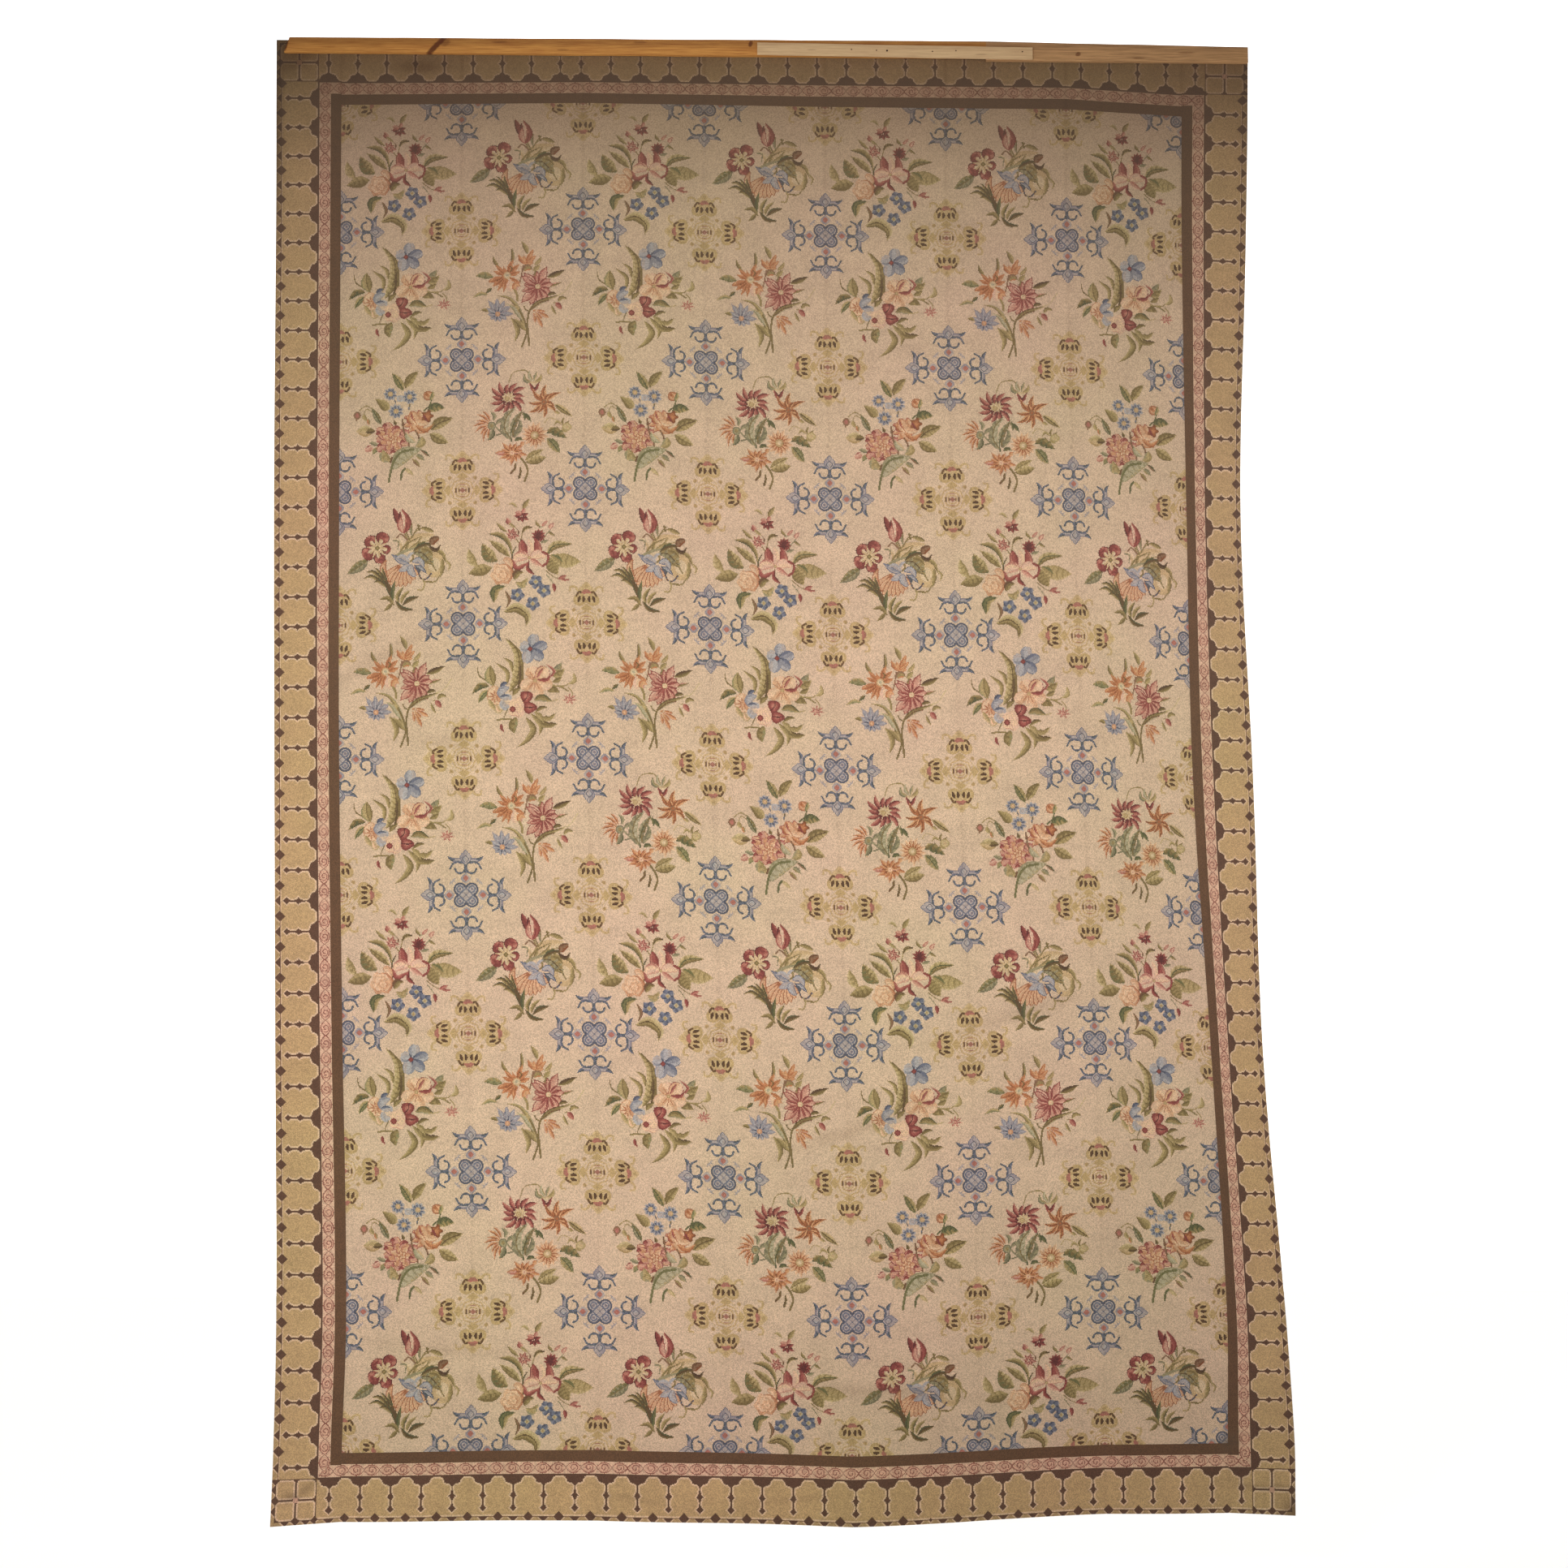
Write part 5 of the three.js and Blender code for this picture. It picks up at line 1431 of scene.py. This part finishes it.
def sharpen_rim(mesh, rim_line):
    """Keeps the edges along the rim crisp, on the face and on the back."""
    layer = len(mesh.vertices) // 2
    ends = np.empty(len(mesh.edges) * 2, np.int32)
    mesh.edges.foreach_get("vertices", ends)
    first, second = ends.reshape(-1, 2).T
    on_rim = np.zeros(len(mesh.vertices), bool)
    on_rim[rim_line] = True
    on_rim[rim_line + layer] = True
    same_side = (first < layer) == (second < layer)
    add_values(mesh, "sharp_edge", "BOOLEAN", "EDGE", on_rim[first] & on_rim[second] & same_side)


def packed_rows(part):
    """Each cell's four rows of four stitches, a number for each row."""
    rows, columns = part.shape[0] // CELL, part.shape[1] // CELL
    cells = part.reshape(rows, CELL, columns, CELL).astype(float)
    weights = float(WOOL_LIMIT) ** np.arange(CELL)
    return (cells * weights).sum(-1).transpose(1, 0, 2).reshape(CELL, -1)


def build_sheet(name, stitches, place, looks, lengths):
    """A closed sheet on the hung surface, over part of the carpet's chart.

    stitches is its first column, its columns, its first row and its rows on the chart.
    place is its left, width, top and height on the flat carpet.
    looks is the materials of its face and its back, and lengths goes to bake_map.
    """
    first_column, columns, first_row, rows = stitches
    left, width, top, height = place
    part = CHART[first_row:first_row + rows, first_column:first_column + columns]
    nc, nr = columns // CELL, rows // CELL
    across = flat_places(left, nc, width)
    depth = flat_places(top, nr, height)
    right, back, up = hung_places(across, depth)
    rim = np.zeros((nr + 1, nc + 1))
    rim[[0, -1], :] = ROUND_OFF
    rim[:, [0, -1]] = ROUND_OFF
    front = np.stack([right, back + rim, up], -1)
    behind = np.stack([right, back + CLOTH_THICKNESS - rim, up], -1)
    vertices = np.concatenate([front.reshape(-1, 3), behind.reshape(-1, 3)]) * MM
    polygons, rim_line = sheet_polygons(nr, nc)
    worked = nr * nc
    slots = np.zeros(len(polygons), np.int32)
    slots[worked:2 * worked] = 1
    mesh = quad_mesh(name, vertices, polygons, slots)
    sharpen_rim(mesh, rim_line)
    # Soil, stains and painted shade, one share for each vertex
    spread = soil_and_shade(across[None, :], depth[:, None]).astype(np.float32)
    add_values(mesh, "soil_and_shade", "FLOAT", "POINT", np.tile(spread.ravel(), 2))

    rim_wool = float(part[0, 0]) * (float(WOOL_LIMIT) ** np.arange(CELL)).sum()
    for number, packed in enumerate(packed_rows(part)):
        values = np.concatenate([packed, packed, np.full(len(rim_line), rim_wool)])
        add_values(mesh, f"row_{number}", "FLOAT", "FACE", values.astype(np.float32))

    down, across_stitches = np.mgrid[:nr + 1, :nc + 1] * float(CELL)
    corners = np.tile(np.stack([across_stitches, down], -1).reshape(-1, 2), (2, 1))
    stitch_map = mesh.uv_layers.new(name="stitch")
    stitch_map.data.foreach_set("uv", corners[polygons.ravel()].ravel())
    bake_map(mesh, nr, nc, lengths)
    for material in looks:
        mesh.materials.append(material)
    mesh.validate()
    return link(bpy.data.objects.new(name, mesh))


FACE_SHARE = 0.8
MAP_MARGIN = 0.004
RIM_SHARE = 0.012


def bake_map(mesh, nr, nc, lengths):
    """A map that fills its square: the sheet cut into lengths side by side, its back, its rim."""
    r, c = (v.ravel() for v in np.mgrid[:nr, :nc])
    tall = nr >= nc
    run = r if tall else c
    beside = c if tall else r
    run_count, beside_count = (nr, nc) if tall else (nc, nr)
    length = math.ceil(run_count / lengths)
    number = run // length
    corners = []
    for low, wide in ((0.0, FACE_SHARE), (FACE_SHARE, 1 - FACE_SHARE)):
        column_width = wide / lengths
        cell_u = (column_width - 2 * MAP_MARGIN) / beside_count
        cell_v = (1 - RIM_SHARE - 2 * MAP_MARGIN) / length
        u = low + number * column_width + MAP_MARGIN + beside * cell_u
        v = RIM_SHARE + MAP_MARGIN + (run - number * length) * cell_v
        down = ((0, cell_v) if tall else (cell_u, 0))
        right = ((cell_u, 0) if tall else (0, cell_v))
        steps = [(0, 0), down, (down[0] + right[0], down[1] + right[1]), right]
        if low:
            steps = [steps[0], steps[3], steps[2], steps[1]]
        corners.append(np.stack([np.stack([u + s[0], v + s[1]], -1) for s in steps], 1))
    count = 2 * (nr + nc)
    u = np.arange(count) / count
    rim_top = RIM_SHARE * 0.7
    corners.append(np.stack([np.stack([u + a / count, np.full(count, b * rim_top)], -1)
                             for a, b in ((0, 0), (0, 1), (1, 1), (1, 0))], 1))
    layer = mesh.uv_layers.new(name="OFBake")
    layer.data.foreach_set("uv", np.concatenate(corners).reshape(-1))


def build_carpet():
    """The seven strips, the side borders over the whole height, and the end borders between."""
    field = worked_wool("field_wool_face"), wool_back("field_wool_back")
    border = worked_wool("border_wool_face"), wool_back("border_wool_back")
    rim = BORDER_STITCHES
    for strip in range(STRIP_COUNT):
        stitches = rim + strip * STRIP_STITCHES, STRIP_STITCHES, rim, FIELD_STITCHES
        place = -HALF_FIELD + strip * STRIP_WIDTH, STRIP_WIDTH, END_BORDER, FIELD_HEIGHT
        piece = build_sheet(f"wool_strip_{strip + 1}", stitches, place, field, lengths=3)
        declare(piece, f"field_strip_{strip + 1}")
    for name, column, left in (("left", 0, -HALF_WIDTH), ("right", rim + FIELD_ACROSS, HALF_FIELD)):
        stitches = column, rim, 0, FIELD_STITCHES + 2 * rim
        place = left, SIDE_BORDER, 0, CARPET_HEIGHT
        piece = build_sheet(f"wool_border_{name}", stitches, place, border, lengths=4)
        declare(piece, f"border_{name}")
    for name, row, top in (("top", 0, 0), ("bottom", rim + FIELD_STITCHES, FIELD_BOTTOM)):
        stitches = rim, FIELD_ACROSS, row, rim
        place = -HALF_FIELD, 2 * HALF_FIELD, top, END_BORDER
        piece = build_sheet(f"wool_border_{name}", stitches, place, border, lengths=3)
        declare(piece, f"border_{name}")


def declare(piece, node):
    """Puts a sheet on the root body and hides the solid that it stands for."""
    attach(piece, "root")
    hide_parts(node)


build_carpet()


# The batten
THICKNESS = 22
SPLICE_THICKNESS = 9
LONG_END = [(-1789, 0), (-1809, -57)]
JOINT_LONG = [(840, 0), (840, -63)]
JOINT_SHORT = [(840, 0), (840, -74)]
SHORT_END = [(1837, -16), (1837, -76)]
SPLICE_ENDS = [(-27, -13), (-27, -60)], [(1016, -26), (1016, -73)]
NAILS = [(329, -38, 2.6), (424, -41, 2.4), (464, -42, 3.6), (636, -44, 2.6), (725, -41, 2.5), (977, -43, 2.6)]
ARRIS = 1.4
STATION_LENGTH = 24
# How a sawn length wanders, as height and length: its edges by two waves, its faces by one
SLOW_HEIGHT, SLOW_LENGTH = 0.35, 90
FAST_HEIGHT, FAST_LENGTH = 0.2, 31
FACE_HEIGHT, FACE_LENGTH = 0.3, 120
NAIL_SIDES = 14
# A nail head's rings: share of its radius, and how far it stands out in millimetres
NAIL_RINGS = [(1.0, -0.6), (1.0, 0.3), (0.8, 0.75), (0.42, 1.0)]


def blend(first, second, share):
    """A value between two others, at a share of the way."""
    return first * (1 - share) + second * share


def timber_places(left_end, right_end, front, back, stations, ring, turns):
    """The places of a sawn length's vertices, a ring of them at each station."""
    vertices = []
    for station in range(stations + 1):
        along = station / stations
        for side_y, side_z, part in ring:
            first, second = (part, 1 - part) if side_y == side_z else (1 - part, part)
            in_y = ARRIS * (1 - math.sin(first * math.pi / 2))
            in_z = ARRIS * (1 - math.sin(second * math.pi / 2))
            y = front + in_y if side_y == 0 else back - in_y
            top = blend(left_end[0][1], right_end[0][1], along)
            bottom = blend(left_end[1][1], right_end[1][1], along)
            z = top - in_z if side_z == 0 else bottom + in_z
            level = (z - top) / (bottom - top)
            left = blend(left_end[0][0], left_end[1][0], level)
            right = blend(right_end[0][0], right_end[1][0], level)
            x = blend(left, right, along)
            slow = SLOW_HEIGHT * math.sin(x / SLOW_LENGTH + turns[side_z])
            fast = FAST_HEIGHT * math.sin(x / FAST_LENGTH + turns[2 + side_z])
            z -= (slow + fast) * (1 if side_z == 0 else -1) * math.sin(math.pi * along) ** 0.3
            bow = FACE_HEIGHT * math.sin(x / FACE_LENGTH + turns[4 + side_y]) + FACE_HEIGHT
            y += bow * (1 if side_y == 0 else -1)
            vertices.append((x * MM, y * MM, z * MM))
    return vertices


def timber(name, node, slot, left_end, right_end, front, back, material, seed):
    """A sawn length with softened arrises and slightly wandering faces."""
    turns = np.random.default_rng(seed).uniform(0, math.tau, 8)
    stations = max(12, int((right_end[0][0] - left_end[0][0]) / STATION_LENGTH))
    ring = [(side_y, side_z, part) for side_y, side_z in ((0, 0), (0, 1), (1, 1), (1, 0))
            for part in (0.0, 0.33, 0.67, 1.0)]
    vertices = timber_places(left_end, right_end, front, back, stations, ring, turns)
    count = len(ring)
    faces = []
    for station in range(stations):
        for number in range(count):
            a = station * count + number
            b = station * count + (number + 1) % count
            faces.append((a, b, b + count, a + count))
    faces.append(tuple(range(count))[::-1])
    faces.append(tuple(range(stations * count, (stations + 1) * count)))
    work = bmesh.new()
    corners = [work.verts.new(place) for place in vertices]
    for face in faces:
        work.faces.new([corners[number] for number in face])
    piece = closed_piece(name, work, material)
    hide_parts(node)


def closed_piece(name, work, material):
    """Makes a closed mesh into a piece that rides on the part's one body."""
    bmesh.ops.recalc_face_normals(work, faces=work.faces)
    mesh = bpy.data.meshes.new(name)
    work.to_mesh(mesh)
    work.free()
    mesh.materials.append(material)
    piece = link(bpy.data.objects.new(name, mesh))
    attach(piece, "root")
    return piece


def timber_material(name, dark, light, upper, knots):
    """Sawn softwood, its grain along the batten.

    upper is how much darker and greyer its upper part is. A knot or dark streak is its place, half length,
    half height, slant and strength.
    """
    material, n = new_material(name)
    place = n.body()
    streak = n.noise(n.vector("MULTIPLY", place, (2.2, 60, 60)), 3.0, 6.0, 0.62)
    fine = n.noise(n.vector("MULTIPLY", place, (9, 420, 420)), 2.0, 3.0)
    grain = n.math("MULTIPLY_ADD", fine, 0.35, n.math("MULTIPLY", streak, 0.75))
    colour = n.mix(n.fit(grain, 0.38, 0.7, 0, 1), linear(dark), linear(light))
    place_x, _, place_z = n.split(place)
    wander = n.math("MULTIPLY_ADD", n.noise(place, 5.0, 3.0), 0.03, place_z)
    dull = n.fit(wander, -0.022, -0.004, 0.0, upper)
    colour = n.mix(dull, colour, n.mix(1.0, colour, (0.62, 0.58, 0.6, 1), "MULTIPLY"))
    for x, z, length, height, slant, strength in knots:
        right = n.math("SUBTRACT", place_x, x * MM)
        down = n.math("SUBTRACT", place_z, z * MM)
        lean = n.math("MULTIPLY_ADD", down, -slant, right)
        across = n.math("POWER", n.math("MULTIPLY", n.math("ABSOLUTE", lean), 1 / (length * MM)), 2.0)
        deep = n.math("POWER", n.math("MULTIPLY", n.math("ABSOLUTE", down), 1 / (height * MM)), 2.0)
        ragged = n.math("MULTIPLY_ADD", n.noise(place, 70.0, 3.0), 0.8, n.math("ADD", across, deep))
        share = n.fit(ragged, 0.7, 1.5, strength, 0.0)
        colour = n.mix(share, colour, linear(KNOT_COLOUR))
    saw = n.noise(n.vector("MULTIPLY", place, (260, 6, 20)), 2.0, 2.0)
    height = n.math("MULTIPLY_ADD", saw, 0.4, grain)
    finish(n, colour, n.bump(height, 0.35, Distance=0.0015), roughness=0.72)
    return material


def build_batten():
    """Two lengths of brown timber, the pale splice over their joint, and its nails."""
    brown = timber_material("brown_timber_grain", "a56632", "d59a50", 0.75, [
        (-1237, -30, 16, 60, 0.9, 0.9), (-1204, -18, 22, 16, 0.2, 0.5), (-52, -16, 9, 14, 0.2, 0.85),
        (-1802, -26, 9, 30, 0.2, 0.9), (-470, -12, 30, 5, 0.0, 0.4), (-760, -44, 26, 4, 0.0, 0.35),
        (-1000, -14, 34, 5, 0.0, 0.4)])
    dull = timber_material("brown_timber_dull", "8e6a48", "c89a6a", 0.5, [
        (1190, -48, 12, 10, 0.2, 0.7), (1600, -40, 40, 5, 0.0, 0.4), (1420, -62, 30, 4, 0.0, 0.4)])
    pale = timber_material("pale_timber_grain", "bb9670", "d8b88c", 0.2, [
        (180, -40, 20, 3, 0.0, 0.25), (820, -55, 26, 3, 0.0, 0.25)])
    half = THICKNESS / 2
    timber("timber_long", "batten_long", "brown_timber", LONG_END, JOINT_LONG, -half, half, brown, 31)
    timber("timber_short", "batten_short", "brown_timber", JOINT_SHORT, SHORT_END, -half, half, dull, 32)
    face = -half - PIECE_GAP - SPLICE_THICKNESS
    timber("timber_splice", "batten_splice", "pale_timber", *SPLICE_ENDS, face, -half - PIECE_GAP, pale, 33)
    build_nails(face)


def build_nails(face):
    """Domed nail heads driven almost flush into the splice."""
    iron, n = new_material("nail_iron")
    rust = n.noise(n.body(), 900.0, 3.0)
    colour = n.mix(n.fit(rust, 0.35, 0.65, 0, 1), linear("2c211c"), linear("5f3a25"))
    shader = n.add("ShaderNodeBsdfPrincipled", {
        "Base Color": colour, "Metallic": 0.6, "Roughness": 0.6, "Normal": n.bump(rust, 0.4)})
    n.add("ShaderNodeOutputMaterial", {0: shader}, output=None)
    work = bmesh.new()
    for x, z, radius in NAILS:
        rings = []
        for share, rise in NAIL_RINGS:
            ring = []
            for number in range(NAIL_SIDES):
                angle = math.tau * number / NAIL_SIDES
                right = x + radius * share * math.cos(angle)
                up = z + radius * share * math.sin(angle)
                ring.append(work.verts.new((right * MM, (face - rise) * MM, up * MM)))
            rings.append(ring)
        for low, high in zip(rings, rings[1:]):
            for number in range(NAIL_SIDES):
                after = (number + 1) % NAIL_SIDES
                work.faces.new((low[number], low[after], high[after], high[number]))
        work.faces.new(rings[-1])
        work.faces.new(rings[0][::-1])
    closed_piece("splice_nails", work, iron)


build_batten()


# Camera, light and floor
LENS = 68.9
CAMERA_PLACE = (-0.222, -11.05, -3.853)
CAMERA_PITCH, CAMERA_YAW, CAMERA_ROLL = 5.31, 1.5, -0.15
FLOOR_LEVEL = -5.75
FLOOR_HALF = 14
# The spotlights: place, aim, spread in degrees and power in watts
SPOTS = {
    "key": ((-2.3, -8.6, -1.8), (-0.12, 0, -2.6), 44, 2380),
    "right": ((0.6, -8.8, -2.2), (1.5, 0, -1.9), 22, 260),
    "low": ((-1.6, -8.2, -4.6), (-1.4, 0, -5.5), 27, 640),
}
SPOT_RADIUS = 0.7
ROOM_LIGHT = (0.30, 0.285, 0.265, 1)
WALL_LIGHT = (1.6, 1.6, 1.6, 1)


def build_camera():
    """The photo's camera: below the carpet's middle, and tilted up towards it."""
    camera = bpy.data.cameras.new("camera")
    camera.lens = LENS
    camera.sensor_width = 36
    camera.sensor_fit = "HORIZONTAL"
    holder = link(bpy.data.objects.new("camera", camera))
    holder.location = CAMERA_PLACE
    turn = Matrix.Rotation(math.radians(-CAMERA_YAW), 4, "Z")
    turn = turn @ Matrix.Rotation(math.radians(90 + CAMERA_PITCH), 4, "X")
    turn = turn @ Matrix.Rotation(math.radians(CAMERA_ROLL), 4, "Z")
    holder.rotation_euler = turn.to_euler()
    bpy.context.scene.camera = holder


def build_floor():
    """A pale painted floor under the carpet, wide enough to reach the edges of the view."""
    mesh = bpy.data.meshes.new("floor")
    corners = [(x * FLOOR_HALF, y * FLOOR_HALF, FLOOR_LEVEL) for x, y in ((-1, -1), (1, -1), (1, 1), (-1, 1))]
    mesh.from_pydata(corners, [], [(0, 1, 2, 3)])
    material, n = new_material("floor_paint")
    finish(n, linear("fdfdfc"), n.bump(n.noise(n.body(), 3.0), 0.02), roughness=0.8)
    mesh.materials.append(material)
    link(bpy.data.objects.new("floor", mesh))


def build_lights():
    """A soft key from the left that fades towards the corners, and a dim warm room before it."""
    for name, (place, aim, spread, power) in SPOTS.items():
        light = bpy.data.lights.new(name, "SPOT")
        light.energy = power
        light.spot_size = math.radians(spread)
        light.spot_blend = 1
        light.shadow_soft_size = SPOT_RADIUS
        lamp = link(bpy.data.objects.new(name, light))
        lamp.location = place
        lamp.rotation_euler = (Vector(aim) - Vector(place)).to_track_quat("-Z", "Y").to_euler()
    world = bpy.data.worlds.new("studio")
    world.use_nodes = True
    n = Nodes(world.node_tree)
    _, ahead, _ = n.split(n.add("ShaderNodeTexCoord", output=VIEW_PLACE))
    colour = n.mix(n.fit(ahead, -0.25, 0.1, 0, 1), ROOM_LIGHT, WALL_LIGHT)
    background = n.add("ShaderNodeBackground", {0: colour, 1: 1.0})
    n.add("ShaderNodeOutputWorld", {0: background}, output=None)
    bpy.context.scene.world = world
    bpy.context.scene.view_settings.view_transform = "Standard"


build_camera()
build_floor()
build_lights()
